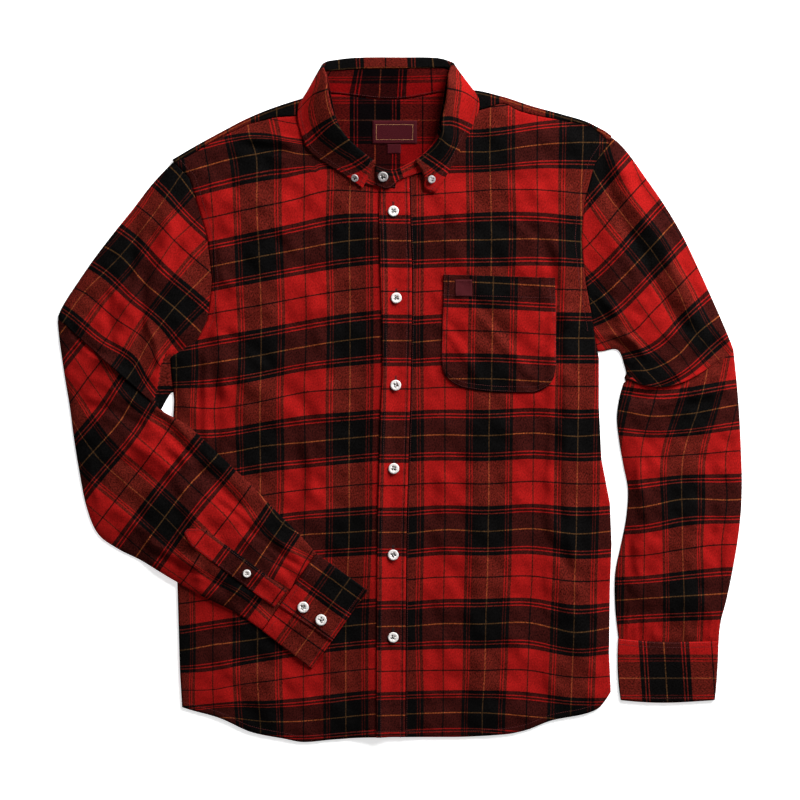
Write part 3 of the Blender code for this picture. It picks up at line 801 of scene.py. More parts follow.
@dataclass(frozen=True)
class Plaid:
    """Brushed plaid flannel: red and black with a thin gold stripe each way."""

    name: str = "plaid_flannel"
    warp_red: tuple = (Band(19.7, 20.9), Band(22.9, 24.1), Band(28.0, 51.9))
    weft_red: tuple = (Band(20.2, 21.4), Band(24.0, 25.2), Band(29.9, 55.5))
    stripe: float = 0.62
    blur: float = 0.5
    red: tuple = (174, 26, 24)
    brick: tuple = (102, 29, 22)
    maroon: tuple = (62, 20, 17)
    black: tuple = (13, 12, 12)
    warp_gold: tuple = (160, 74, 42)
    warp_gold_dark: tuple = (74, 52, 32)
    weft_gold: tuple = (166, 82, 42)
    weft_gold_dark: tuple = (88, 60, 34)
    light: float = 0.58
    # Painted shade: the colour's scale on faces marked inner, darkened as if in the collar's shadow.
    collar_painted_shade: tuple = (0.6, 0.36, 0.46)

    def material(self) -> bpy.types.Material:
        """Builds the shader on the piece's own weave coordinates."""
        shader = Shader(self.name)
        cloth, u, v = shader.weave()
        wander = shader.noise(cloth, 260.0, 1.0) - 0.5
        warp_at = (u / (SETT.warp * MM)).fold() * SETT.warp + wander * 0.5
        weft_at = (v / (SETT.weft * MM)).fold() * SETT.weft + wander * 0.5
        warp_red = self.bands(warp_at, self.warp_red)
        weft_red = self.bands(weft_at, self.weft_red)
        warp_gold = 1 - warp_at.past(self.stripe, self.blur)
        weft_gold = 1 - weft_at.past(self.stripe, self.blur)

        dark = shader.mix(warp_red, linear(self.black), linear(self.maroon))
        bright = shader.mix(warp_red, linear(self.brick), linear(self.red))
        gold = shader.mix(weft_red, linear(self.warp_gold_dark), linear(self.warp_gold))
        ground = shader.mix(weft_red, dark, bright)
        ground = shader.mix(warp_gold * 0.8, ground, gold)
        gold = shader.mix(warp_red, linear(self.weft_gold_dark), linear(self.weft_gold))
        ground = shader.mix(weft_gold * 0.8, ground, gold)

        # Painted shade: faces marked inner are darkened, as if the collar shadowed them.
        inner = shader.node("ShaderNodeAttribute", dict(attribute_name="inner"), out="Fac")
        flat = shader.node("ShaderNodeVectorMath", dict(operation="MULTIPLY"), ground, self.collar_painted_shade)
        ground = shader.mix(inner, ground, flat)

        slanted = shader.node("ShaderNodeMapping", dict(vector_type="POINT"), cloth,
                              None, (0.0, 0.0, math.radians(52)), (1.0, 0.7, 1.0))
        heather = shader.noise(slanted, 700.0, 1.0, 0.5) - 0.5
        patchy = (shader.noise(cloth, 17.0, 2.0) - 0.5) * 0.45 + (shader.noise(cloth, 62.0, 2.0) - 0.5) * 0.4
        depth = 3.2 - 1.9 * (warp_red * weft_red)
        wale = ((u + v) * (2 * math.pi / 0.00135)).sine()
        factor = (1 + heather * depth + patchy + wale * 0.1).least(0.12)
        colour = shader.node("ShaderNodeVectorMath", dict(operation="SCALE"), ground)
        shader.feed(colour.socket.node.inputs["Scale"], factor * self.light)
        nap = shader.noise(cloth, 900.0, 3.0, 0.6)
        rumple = shader.noise(cloth, 22.0, 1.0) * 2.6 + shader.noise(cloth, 60.0, 1.0) * 0.7
        relief = nap * 0.2 + wale * 0.04 + heather * 0.2 + rumple
        return shader.finish(
            {"Specular IOR Level": 0.015, "Sheen Weight": 0.003, "Sheen Roughness": 0.6,
             "Sheen Tint": (1.0, 0.72, 0.66, 1.0), "Metallic": 0.0},
            Base_Color=colour, Roughness=0.86 + nap * 0.12, Normal=shader.bump(relief, 0.001),
        )

    def bands(self, at: Wire, bands: Sequence[Band]) -> Wire:
        """How red the threads of one direction are."""
        total = None
        for band in bands:
            inside = at.past(band.start, self.blur) - at.past(band.end, self.blur)
            total = inside if total is None else total + inside
        return total


@dataclass(frozen=True)
class Thread:
    """Sewing thread."""

    name: str
    colour: tuple
    roughness: float = 0.7

    def material(self) -> bpy.types.Material:
        """Twisted thread with a little variation."""
        shader = Shader(self.name)
        place = shader.place()
        fleck = shader.noise(place, 900.0, 2.0)
        return shader.finish({"Specular IOR Level": 0.3, "Metallic": 0.0},
                             Base_Color=shader.shades(fleck, self.colour, 1.2),
                             Roughness=self.roughness + fleck * 0.1,
                             Normal=shader.bump(fleck, 0.0001))


@dataclass(frozen=True)
class Pearl:
    """Milky buttons with a faint lustre."""

    name: str = "pearl_button"
    pale: tuple = (222, 218, 215)
    warm: tuple = (203, 197, 193)

    def material(self) -> bpy.types.Material:
        """Clouded pale resin under a gloss."""
        shader = Shader(self.name)
        place = shader.place()
        cloud = shader.noise(place, 220.0, 3.0, 0.6)
        swirl = shader.noise(place, 900.0, 2.0, 0.6)
        colour = shader.mix(cloud.past(0.52, 0.4), linear(self.pale), linear(self.warm))
        return shader.finish({"Specular IOR Level": 0.35, "Coat Weight": 0.1, "Coat Roughness": 0.3,
                              "Metallic": 0.0},
                             Base_Color=colour, Roughness=0.36 + swirl * 0.14,
                             Normal=shader.bump(swirl, 0.00003))


@dataclass(frozen=True)
class Damask:
    """Close-woven label cloth."""

    name: str
    colour: tuple
    pitch: float = 0.0006

    def material(self) -> bpy.types.Material:
        """A fine rib with small flecks."""
        shader = Shader(self.name)
        cloth, u, v = shader.weave()
        rib = (u * (2 * math.pi / self.pitch)).sine() * (v * (2 * math.pi / self.pitch)).sine()
        fleck = shader.noise(cloth, 1300.0, 2.0)
        colour = shader.shades(fleck * 0.6 + rib * 0.12 + 0.2, self.colour, 1.35)
        return shader.finish({"Specular IOR Level": 0.05, "Sheen Weight": 0.0, "Metallic": 0.0},
                             Base_Color=colour, Roughness=0.72 + fleck * 0.15,
                             Normal=shader.bump(rib * 0.5 + fleck, 0.00012))


@dataclass(frozen=True)
class PaleFloor:
    """The plain surface that the shirt lies on."""

    name: str = "pale_floor"
    tone: float = 0.985
    glow: float = 0.55

    def material(self) -> bpy.types.Material:
        """Almost white, matt, with the faintest mottling."""
        shader = Shader(self.name)
        place = shader.place()
        fleck = shader.noise(place, 3.0, 1.0)
        tone = (self.tone, self.tone, self.tone, 1.0)
        return shader.finish({"Specular IOR Level": 0.1, "Metallic": 0.0, "Emission Color": tone,
                              "Emission Strength": self.glow},
                             Base_Color=shader.mix(fleck, tone, tuple(v * 0.995 for v in tone[:3]) + (1.0,)),
                             Roughness=0.9 + fleck * 0.05)


class Finishes:
    """One material of each finish, shared by the pieces."""

    def __init__(self) -> None:
        """Makes the materials."""
        self.plaid = Plaid().material()
        self.dark_thread = Thread("dark_red_thread", (74, 16, 18)).material()
        self.black_thread = Thread("black_thread", (20, 12, 13)).material()
        self.gold_thread = Thread("tan_thread", (176, 128, 84)).material()
        self.white_thread = Thread("white_thread", (205, 198, 188)).material()
        self.burgundy = Damask("burgundy_label", (52, 11, 17)).material()
        self.hide = Damask("brown_patch", (55, 15, 19), 0.0011).material()
        self.pearl = Pearl().material()
        # Painted shade: a darker copy of the pearl for the buttons up on the collar, as if shadowed.
        self.painted_shade_pearl = Pearl("painted_shade_pearl_button", (164, 158, 158), (140, 134, 134)).material()
        self.floor = PaleFloor().material()


# ================================================================ stitches
class StitchTree:
    """Geometry Nodes that lay stitches along lines of edges."""

    def __init__(self) -> None:
        """Builds the tree."""
        tree = bpy.data.node_groups.new("stitch_run", "GeometryNodeTree")
        face = tree.interface
        face.new_socket("Geometry", in_out="INPUT", socket_type="NodeSocketGeometry")
        self.inputs = {
            name: face.new_socket(name, in_out="INPUT", socket_type=kind).identifier
            for name, kind in (("Pitch", "NodeSocketFloat"), ("Length", "NodeSocketFloat"),
                               ("Thickness", "NodeSocketFloat"), ("Thread", "NodeSocketMaterial"))
        }
        face.new_socket("Geometry", in_out="OUTPUT", socket_type="NodeSocketGeometry")
        self.tree = tree
        source = tree.nodes.new("NodeGroupInput")
        curve = self.add("GeometryNodeMeshToCurve", {}, Mesh=source.outputs["Geometry"])
        resample = self.add("GeometryNodeResampleCurve", dict(mode="LENGTH"),
                            Curve=curve.outputs[0], Length=source.outputs["Pitch"])
        bead = self.add("GeometryNodeMeshUVSphere", {}, Segments=5, Rings=4, Radius=0.5)
        heading = self.add("FunctionNodeAlignRotationToVector", dict(axis="Z"),
                           Vector=self.add("GeometryNodeInputTangent", {}).outputs[0])
        size = self.add("ShaderNodeCombineXYZ", {}, X=source.outputs["Thickness"],
                        Y=source.outputs["Thickness"], Z=source.outputs["Length"])
        laid = self.add("GeometryNodeInstanceOnPoints", {}, Points=resample.outputs[0],
                        Instance=bead.outputs[0], Rotation=heading.outputs[0], Scale=size.outputs[0])
        real = self.add("GeometryNodeRealizeInstances", {}, Geometry=laid.outputs[0])
        sewn = self.add("GeometryNodeSetMaterial", {}, Geometry=real.outputs[0],
                        Material=source.outputs["Thread"])
        sink = tree.nodes.new("NodeGroupOutput")
        tree.links.new(sewn.outputs[0], sink.inputs[0])

    def add(self, kind: str, settings: dict, **sockets: object) -> bpy.types.Node:
        """Adds a node with its settings, then its values or links."""
        made = self.tree.nodes.new(kind)
        for key, value in settings.items():
            setattr(made, key, value)
        for name, value in sockets.items():
            if isinstance(value, bpy.types.NodeSocket):
                self.tree.links.new(value, made.inputs[name])
            else:
                made.inputs[name].default_value = value
        return made

    def run(self, name: str, lines: Sequence[Array], thread: bpy.types.Material, pitch: float = 2.6,
            thick: float = 0.6, share: float = 0.74) -> bpy.types.Object:
        """Sews along lines.

        Args:
            name: The piece's name.
            lines: Lines of points in mm.
            thread: The material.
            pitch: From one stitch to the next, in mm.
            thick: The thread's thickness, in mm.
            share: How much of the pitch a stitch fills.

        Returns:
            A plain mesh object.
        """
        points, edges = [], []
        for line in lines:
            start = len(points)
            points += (np.asarray(line) * MM).tolist()
            edges += [(k, k + 1) for k in range(start, len(points) - 1)]
        guide = bpy.data.meshes.new(name + "_guide")
        guide.from_pydata(points, edges, [])
        made = bpy.data.objects.new(name, guide)
        bpy.context.scene.collection.objects.link(made)
        modifier = made.modifiers.new("stitches", "NODES")
        modifier.node_group = self.tree
        for key, value in (("Pitch", pitch * MM), ("Length", pitch * share * MM), ("Thickness", thick * MM),
                           ("Thread", thread)):
            modifier[self.inputs[key]] = value
        graph = bpy.context.evaluated_depsgraph_get()
        mesh = bpy.data.meshes.new_from_object(made.evaluated_get(graph), depsgraph=graph)
        made.modifiers.clear()
        made.data = mesh
        bpy.data.meshes.remove(guide)
        mesh.name = name
        mesh.shade_smooth()
        return made


@dataclass
class Workroom:
    """What every sub-assembly works with."""

    form: BodyForm
    finishes: Finishes
    stitches: StitchTree

    def hand_in(self, made: bpy.types.Object, slot: str, *nodes: str) -> bpy.types.Object:
        """Fixes a piece to the shirt's one body and hides the solids that it replaces.

        Args:
            made: The piece.
            slot: Not used.
            nodes: The solids that it replaces.

        Returns:
            The piece.
        """
        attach(made, "root")
        if nodes:
            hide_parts(*nodes)
        LOG.info("%s: %d faces", made.name, len(made.data.polygons))
        return made

    def sheet(self, made: bpy.types.Object, nodes: Sequence[str], flat: tuple, held: str,
              rests_on: Sequence[str], area: Optional[float] = None,
              slot: str = "flannel") -> bpy.types.Object:
        """Fixes a sheet of cloth to the shirt's one body and hides the solids that it replaces.

        Args:
            made: The piece.
            nodes: The solids that it replaces.
            flat: Width and length of its cut in metres; not used.
            held: How it is held; not used.
            rests_on: What it lies on; not used.
            area: Flat area in square metres where the cut isn't a rectangle; not used.
            slot: A material slot's name, passed on to hand_in.

        Returns:
            The piece.
        """
        self.hand_in(made, slot, *nodes)
        return made

    def sew(self, name: str, lines: Sequence[Array], thread: Optional[bpy.types.Material] = None,
            **sizes: float) -> bpy.types.Object:
        """Sews lines of stitches and fixes them to the shirt's one body."""
        made = self.stitches.run(name, lines, thread or self.finishes.dark_thread, **sizes)
        return self.hand_in(made, "flannel")


# ================================================================ body
FRONT_RIGHT_PINS = crossings(
    (0, (-170, 290, -1), (-227, 277, -1.5), (-138, 295, -0.72), (-254, 269, -1.75)),
    (-0.2, (-177, 310, -1), (-135, 306, -0.7), (-97, 302, -0.33)),
    (0.2, (-136, 270, -0.7), (-88, 278, -0.28)),
    (0.5, (-221, 216, -1.5), (-169, 227, -1), (-113, 240, -0.5), (-59, 247, 0)),
    (1, (-220, 158, -1.5), (-166, 169, -1), (-113, 179, -0.5), (-60, 188, 0)),
    (1.5, (-217, 103, -1.5), (-164, 112, -1), (-111, 122, -0.5), (-59, 130, 0)),
    (2, (-264, 38, -2), (-214, 45, -1.5), (-164, 53, -1), (-111, 63, -0.5), (-59, 71, 0)),
    (2.5, (-264, -8, -2), (-219, -10, -1.5), (-165, -2, -1), (-113, 9, -0.5), (-59, 13, 0)),
    (3, (-217, -64, -1.5), (-165, -55, -1), (-112, -50, -0.5), (-60, -45, 0)),
    (3.5, (-165, -113, -1), (-112, -106, -0.5), (-60, -101, 0)),
    (4, (-168, -166, -1), (-113, -159, -0.5), (-60, -156, 0)),
    (4.5, (-264, -241, -2), (-221, -235, -1.5), (-113, -215, -0.5), (-62, -210, 0)),
    (5, (-263, -296, -2), (-221, -289, -1.5), (-168, -282, -1), (-114, -273, -0.5), (-64, -267, 0)),
    (5.5, (-221, -342, -1.5), (-168, -333, -1), (-114, -326, -0.5), (-64, -320, 0)),
    (6, (-211, -375, -1.42), (-165, -379, -1), (-114, -379, -0.5), (-64, -374, 0)),
)
FRONT_LEFT_PINS = crossings(
    (0, (61, 293, 0.58), (106, 293, 1), (162, 301, 1.5), (216, 304, 2)),
    (0.5, (53, 244, 0.5), (107, 248, 1), (162, 248, 1.5), (214, 244, 2)),
    (1, (15, 186, 0.14), (53, 188, 0.5), (108, 189, 1), (163, 190, 1.5), (214, 187, 2)),
    (1.5, (53, 129, 0.5), (107, 130, 1), (160, 131, 1.5), (214, 130, 2)),
    (2, (14, 68, 0.14), (53, 71, 0.5), (106, 72, 1), (160, 73, 1.5), (211, 73, 2)),
    (2.5, (53, 15, 0.5), (106, 15, 1), (158, 17, 1.5), (211, 16, 2)),
    (3, (53, -41, 0.5), (105, -42, 1), (158, -39, 1.5), (210, -43, 2), (236, -41, 2.26)),
    (3.5, (53, -98, 0.5), (105, -99, 1), (157, -96, 1.5), (209, -99, 2)),
    (4, (14, -157, 0.13), (53, -153, 0.5), (104, -155, 1), (157, -152, 1.5), (208, -158, 2),
     (248, -155, 2.4)),
    (4.5, (52, -209, 0.5), (103, -209, 1), (156, -208, 1.5), (206, -214, 2)),
    (5, (12, -267, 0.13), (51, -264, 0.5), (101, -264, 1), (153, -263, 1.5), (205, -274, 2),
     (248, -269, 2.42)),
    (5.5, (51, -319, 0.5), (100, -319, 1), (151, -319, 1.5), (203, -327, 2)),
    (6, (51, -369, 0.5), (97, -369, 1), (149, -373, 1.5)),
)
POCKET_PINS = crossings(
    (0, (110, 138, 1), (57, 140, 0.5), (165, 135, 1.5)),
    (0.5, (109, 81, 1), (55, 82, 0.5), (164, 78, 1.5)),
    (1, (108, 25, 1), (55, 25, 0.5), (163, 22, 1.5)),
)
BAND_WEFTS = (                          # (y, repeats) along the front band
    (245, 0.5), (188, 1), (128, 1.5), (70, 2), (13, 2.5), (-44, 3), (-101, 3.5), (-156, 4),
    (-210, 4.5), (-267, 5), (-320, 5.5), (-372, 6),
)


@dataclass
class Body:
    """Back, fronts and front band."""

    room: Workroom
    wall: float = 0.9
    band_wall: float = 1.3
    hem_stitch: float = 7.0
    band_stitch: float = 5.5
    seam_stitch: float = 1.6
    armhole_stitch: float = 7.5
    armhole_foot: float = 82.0
    under_band: float = 8.0
    roll: float = 0.45
    back_crossing: tuple = (106.0, 188.0)

    def front_head(self, x: Array) -> Array:
        """Upper edge of a front: the neckline between the yoke's two ends, the yoke's seam outside."""
        form = self.room.form
        inside = (form.neck_left_x < x) & (x < form.neck_right_x)
        return np.where(inside, NECKLINE(x) - form.gap, YOKE_FRONT(x) - 0.5)

    def finished(self, height: Height, sides: tuple) -> Height:
        """A height with the hem's fold and the roll of the edges added.

        Args:
            height: The panel's upper face.
            sides: Edges, as x at a y, towards which the cloth turns down.

        Returns:
            The new height.
        """
        def top(x: Array, y: Array) -> Array:
            """The finished upper face."""
            up = y - HEM(x)
            seam = up - self.hem_stitch
            groove = 0.35 * np.exp(-(seam / 1.3) ** 2)
            gather = 0.22 * np.sin(x / 1.9 + 1.7 * np.sin(x / 11)) * np.exp(-(seam / 5) ** 2)
            turned = self.roll * (1 - smooth(up / 2.5))
            for edge in sides:
                turned = turned + self.roll * (1 - smooth(abs(x - edge(y)) / 3.5))
            return height(x, y) - groove - turned + gather * smooth(up / 3)
        return top

    def front(self, name: str, left: Callable, right: Callable, columns: int, rows: int, pins: Sequence[Pin],
              height: Height, cut: tuple, area: float) -> Sheet:
        """Builds one front.

        Args:
            name: Its name.
            left: x of its left edge at a y.
            right: x of its right edge at a y.
            columns: Points across.
            rows: Points up.
            pins: Its plaid.
            height: Its upper face.
            cut: Width and length of its flat cut in metres.
            area: That cut's area in square metres.

        Returns:
            Its grid.
        """
        plan = stretched(np.linspace(0, 1, columns), eased(rows, 0.1), left, right, HEM, self.front_head)
        weave = SETT.metres(Pinned.cloth(pins)(plan[..., 0], plan[..., 1]))
        sheet = Sheet(name + "_cloth", raised(plan, height), [weave])
        made = sheet.build(self.room.finishes.plaid, self.wall)
        self.room.sheet(made, [name], cut, "laid", ["back_cloth"], area)
        return sheet

    def back(self) -> Sheet:
        """The back below the yoke, flat on the ground."""
        form = self.room.form
        plan = stretched(np.linspace(0, 1, 66), np.linspace(0, 1, 84), LEFT_EDGE, RIGHT_EDGE, HEM,
                         lambda x: form.back_seam_y - form.gap + 0 * x)
        top = raised(plan, lambda x, y: form.cloth + 0 * x)
        across, up = self.back_crossing
        weave = np.stack((plan[..., 0] - across, up - plan[..., 1]), 2) * MM
        weave[..., 1] += SETT.weft * MM
        sheet = Sheet("back_cloth", top, [weave])
        made = sheet.build(self.room.finishes.plaid, form.cloth)
        self.room.sheet(made, ["back"], (0.524, 0.655), "laid", [], 0.33)
        return sheet

    def band(self) -> Sheet:
        """The front band, stitched near both its edges."""
        form = self.room.form
        plan = stretched(eased(17), np.linspace(0, 1, 230), BAND_LEFT, BAND_RIGHT, HEM, self.front_head)
        x, y = plan[..., 0], plan[..., 1]
        wefts = Edge(tuple(sorted(BAND_WEFTS)), Bend.STRAIGHT)
        above = np.maximum(y - BAND_WEFTS[0][0], 0) / SETT.weft
        below = np.maximum(BAND_WEFTS[-1][0] - y, 0) / SETT.weft
        across = 0.5 + (x - (BAND_RIGHT(y) - 3.7)) / SETT.warp
        weave = SETT.metres(np.stack((across, wefts(y) - above + below), 2))

        def top(x: Array, y: Array) -> Array:
            """Upper face: edges rounded off, a faint pucker along both stitch lines."""
            side = np.minimum(x - BAND_LEFT(y), BAND_RIGHT(y) - x)
            pucker = 0.36 * np.sin(y / 2.6 + 2 * np.sin(y / 19)) * np.exp(-((side - 5) / 3.5) ** 2)
            groove = 0.4 * np.exp(-((side - self.band_stitch) / 1.3) ** 2)
            return form.band_top(x, y) - 0.5 * (1 - smooth(side / 3)) - groove + pucker
        sheet = Sheet("front_band_cloth", raised(plan, self.finished(top, ())), [weave])
        made = sheet.build(self.room.finishes.plaid, self.band_wall)
        self.room.sheet(made, ["front_band"], (0.036, 0.650), "laid", ["front_right_cloth"])
        return sheet

    def build(self) -> None:
        """Makes the panels, then their stitches."""
        form = self.room.form
        self.back()
        right = self.front(
            "front_right", LEFT_EDGE, lambda y: BAND_RIGHT(y) - self.under_band, 98, 236, FRONT_RIGHT_PINS,
            self.finished(form.front_top, (LEFT_EDGE,)), (0.272, 0.735), 0.172)
        left = self.front(
            "front_left", lambda y: BAND_RIGHT(y) + form.gap, RIGHT_EDGE, 88, 246, FRONT_LEFT_PINS,
            self.finished(form.left_front_top, (RIGHT_EDGE,)), (0.241, 0.752), 0.166)
        band = self.band()
        lines = [band.inset("first", self.band_stitch), band.inset("last", self.band_stitch),
                 band.inset("foot", self.hem_stitch), left.inset("first", self.seam_stitch),
                 left.inset("foot", self.hem_stitch), right.inset("foot", self.hem_stitch)]
        for sheet, side in ((right, "first"), (left, "last")):
            line = sheet.inset(side, self.armhole_stitch)
            lines.append(line[line[:, 1] > self.armhole_foot])
        self.room.sew("body_stitches", lines)


# ================================================================ yoke
@dataclass
class Yoke:
    """The yoke: flat under the neck, and turned over both shoulders to the front."""

    room: Workroom
    wall: float = 1.0
    columns: int = 176
    rows: int = 34
    front_rows: int = 10
    turns: int = 9
    tip_ease: float = 1.8
    stitch: float = 2.2

    def build(self) -> None:
        """Makes the sheet and its seam's stitches."""
        form = self.room.form
        start = np.linspace(-268, 250, self.columns)
        far = (start - start[0]) / (start[-1] - start[0])
        edge = SHOULDER(start) - self.tip_ease * smooth((start - 240) / 10)
        fold = (form.cloth + form.layer) / 2
        wraps = (start <= form.neck_left_x + 1) | (start >= form.neck_right_x - 1)
        rows, heights, front = [], [], []
        reach = np.where(wraps, edge - fold, edge)
        for share in np.linspace(0, 1, self.rows):
            rows.append(form.back_seam_y + (reach - form.back_seam_y) * share)
            heights.append(np.full(self.columns, self.wall))
            front.append(np.ones(self.columns, bool))
        for turn in np.linspace(0, math.pi, self.turns)[1:]:
            rows.append(edge - fold + fold * math.sin(turn))
            heights.append(np.full(self.columns, self.wall + (fold - self.wall / 2) * (1 - math.cos(turn))))
            front.append(wraps)
        seam = YOKE_FRONT(start)
        for share in np.linspace(0, 1, self.front_rows)[1:]:
            rows.append(edge - fold + (seam - edge + fold) * share)
            heights.append(np.full(self.columns, 2 * fold) - 0.45 * smooth((share - 0.75) / 0.25))
            front.append(wraps)
        y, z, keep = np.array(rows), np.array(heights), np.array(front)
        low, high = LEFT_EDGE(y), RIGHT_EDGE(y)
        x = low + (high - low) * far
        lifted = form.bed(x, y) + 0.12 * form.undulation(x * 2, y * 2) * (z > fold)
        points = np.stack((x, y, z + lifted), 2)
        inside = np.stack((330.4 - y, x + 29.5), 2) * MM
        turned = np.stack((edge - y - 2.5, (x + 29.5) / 1.03), 2) * MM
        over = np.arange(len(rows) - 1) >= self.rows
        choice = np.where(over[:, None], 1, 0) + 0 * np.arange(self.columns - 1)[None, :]
        # The part under the neck, choice 0, is marked for painted shade inside the collar.
        sheet = Sheet("yoke_cloth", points, [inside, turned], choice, keep=keep, inner=(0,))
        made = sheet.build(self.room.finishes.plaid, self.wall)
        self.room.sheet(made, ["yoke"], (0.518, 0.14), "folded", ["back_cloth"], 0.059)
        line = sheet.inset("head", self.stitch, 0.1)
        self.room.sew("yoke_stitches",
                      [line[start < form.neck_left_x - 3], line[start > form.neck_right_x + 3]])


# ================================================================ pocket and labels
@dataclass
class Pocket:
    """The chest pocket: hemmed and stitched down twice."""

    room: Workroom
    wall: float = 0.9
    hem: float = 24.0
    stitches: tuple = (1.8, 7.0)

    def top(self, x: Array, y: Array) -> Array:
        """Upper face, thicker at its hem and rounded off at its edges."""
        form = self.room.form
        head = self.head(x)
        side = np.minimum(np.minimum(x - self.left(y), self.right(y) - x), y - POCKET_FOOT(x))
        hem = 0.35 * smooth((y - head + self.hem + 2) / 3)
        mouth = 0.5 * smooth(side / 20) * smooth((y - head + 60) / 60)
        return form.pocket_top(x, y) - 0.4 * (1 - smooth(side / 2.5)) + hem + mouth

    def head(self, x: Array) -> Array:
        """y of the pocket's mouth."""
        return 148 - 4 * (x - 50) / 133

    def left(self, y: Array) -> Array:
        """x of the left side."""
        return 49 + 2 * smooth((y - 40) / 110)

    def right(self, y: Array) -> Array:
        """x of the right side."""
        return 184 - smooth((y - 90) / 60)

    def build(self) -> None:
        """Makes the pocket, its patch and their stitches."""
        form = self.room.form
        plan = stretched(eased(72), eased(72), self.left, self.right, POCKET_FOOT, self.head)
        weave = SETT.metres(Pinned.cloth(POCKET_PINS)(plan[..., 0], plan[..., 1]))
        sheet = Sheet("pocket_cloth", raised(plan, self.top), [weave])
        made = sheet.build(self.room.finishes.plaid, self.wall)
        self.room.sheet(made, ["pocket"], (0.135, 0.139), "laid", ["front_left_cloth"], 0.0178)
        lines = []
        for inset in self.stitches:
            lines += [sheet.inset("first", inset)[::-1][:-8], sheet.inset("foot", inset)[6:-6],
                      sheet.inset("last", inset)[8:]]
        lines.append(sheet.inset("head", self.hem))
        self.room.sew("pocket_stitches", lines)


@dataclass
class Patch:
    """A bare label of woven cloth with a stitched border."""

    room: Workroom
    node: str
    x0: float
    x1: float
    y0: float
    y1: float
    height: Height
    finish: str
    under: str
    border: float = 2.4
    thread: str = "gold_thread"
    wall: float = 0.35

    def inside(self, x: Array, y: Array) -> Array:
        """How far places lie inside the patch's nearest edge."""
        return np.minimum(np.minimum(x - self.x0, self.x1 - x), np.minimum(y - self.y0, self.y1 - y))

    def build(self) -> None:
        """Makes the label and its border."""
        part_x, part_y = np.meshgrid(np.linspace(0, 1, 22), np.linspace(0, 1, 16))
        x = self.x0 + (self.x1 - self.x0) * part_x
        y = self.y0 + (self.y1 - self.y0) * part_y
        z = self.height(x, y) + self.wall - 0.25 * (1 - smooth(self.inside(x, y) / 1.2))
        weave = np.stack((x, y), 2) * MM
        sheet = Sheet(self.node + "_cloth", np.stack((x, y, z), 2), [weave])
        made = sheet.build(getattr(self.room.finishes, self.finish), self.wall)
        size = ((self.x1 - self.x0) * MM, (self.y1 - self.y0) * MM)
        self.room.sheet(made, [self.node], size, "laid", [self.under], slot="label")
        if self.border:
            lines = [sheet.inset(side, self.border) for side in ("first", "last", "foot", "head")]
            lines = [line[self.inside(line[:, 0], line[:, 1]) > self.border - 0.3] for line in lines]
            self.room.sew(self.node + "_stitches", lines, getattr(self.room.finishes, self.thread),
                          pitch=1.5, thick=0.5, share=0.9)


# ================================================================ collar
STAND = rows_of(
    Rim, (-6, 250, 4.6, -2, 268, 4.8), (-38, 254, 4.6, -34, 279, 5.6), (-61, 266.5, 4.6, -54, 299, 6.6),
    (-79, 281, 4.8, -68, 316, 7.4), (-91, 295, 5.0, -76, 335, 8.0), (-99, 315, 5.2, -81, 358, 8.2),
    (-101.5, 336, 5.6, -84, 376, 8.2), (-102, 352, 4.6, -87, 385, 5.9), (-99, 362, 2.9, -84, 388.5, 4.1),
    (-78, 362.2, 2.6, -68, 389.6, 4.4), (-51, 359, 2.5, -46, 390, 5.0), (-24, 356, 2.5, -22, 390.4, 5.2),
    (2, 356, 2.5, 4, 390.6, 5.2), (28, 360.2, 2.5, 28, 391.2, 5.0), (52, 364.4, 2.6, 46, 391.6, 4.4),
    (80, 367, 2.9, 54, 390, 4.1), (84, 358, 4.6, 57.5, 386, 5.9), (83, 342, 5.6, 54, 374, 8.2),
    (79, 322, 5.2, 51, 352, 8.2), (71, 305, 5.0, 47, 331, 8.0), (59, 288.5, 4.8, 43, 312, 7.6),
    (43, 276.5, 5.2, 34, 297, 7.2), (25, 269, 6.0, 20, 285, 6.8), (11, 264, 6.4, 8, 278, 7.0),
    (-1, 259, 6.5, -6, 272, 7.0), (-14, 249, 6.5, -18, 273, 7.2), (-29, 254, 6.5, -29, 277, 7.4),
)
LEAF = rows_of(
    Leaf, (-29, 281, -44, 250, 10.0, 6.0, -90, 3), (-38, 287, -65, 265, 10.4, 5.8, -90, 3),
    (-58, 304, -92, 282, 11.2, 6.2, -90, 3), (-71, 320, -109, 296, 11.8, 6.6, -90, 3),
    (-80, 342, -118, 318, 12.2, 6.6, -90, 3), (-85, 364, -121, 334, 12.0, 6.8, -90, 3.5),
    (-87, 382, -119.5, 347, 10.8, 6.8, -84, 4.5), (-90, 391, -114.5, 354, 9.2, 6.0, -60, 6),
    (-90.5, 394.5, -110, 358, 6.0, 3.2, 0, 8), (-87, 399, -104, 360, 4.2, 0.9, 70, 11),
    (-76, 401, -88, 353, 4.2, 0.6, 90, 12.5), (-60, 403, -62, 353, 4.4, 0.6, 90, 13),
    (-37, 404, -37, 354, 4.6, 0.6, 90, 13), (0, 404, 0, 354, 4.6, 0.6, 90, 12.5),
    (30, 404, 31, 354, 4.5, 0.6, 90, 12), (46, 403, 60, 356, 4.4, 0.6, 90, 11),
    (57, 400, 75, 366, 4.2, 0.9, 70, 9), (61.5, 396.5, 82.5, 367, 6.0, 3.2, 0, 8),
    (59, 390.5, 87.5, 362.5, 9.2, 6.0, -60, 6), (57, 383, 92.5, 355, 10.8, 6.8, -84, 4.5),
    (56, 370, 93, 343, 12.0, 6.8, -90, 3.5), (54, 352, 87, 327, 12.2, 6.4, -90, 3),
    (49.5, 331, 80, 312, 11.8, 6.4, -90, 3), (48, 314, 71, 295, 11.4, 6.4, -90, 3),
    (41, 301, 62, 278, 11.0, 5.8, -90, 3), (28, 289, 52, 260, 10.6, 5.8, -90, 3),
    (18, 282, 41, 244, 10.2, 6.0, -90, 3),
)
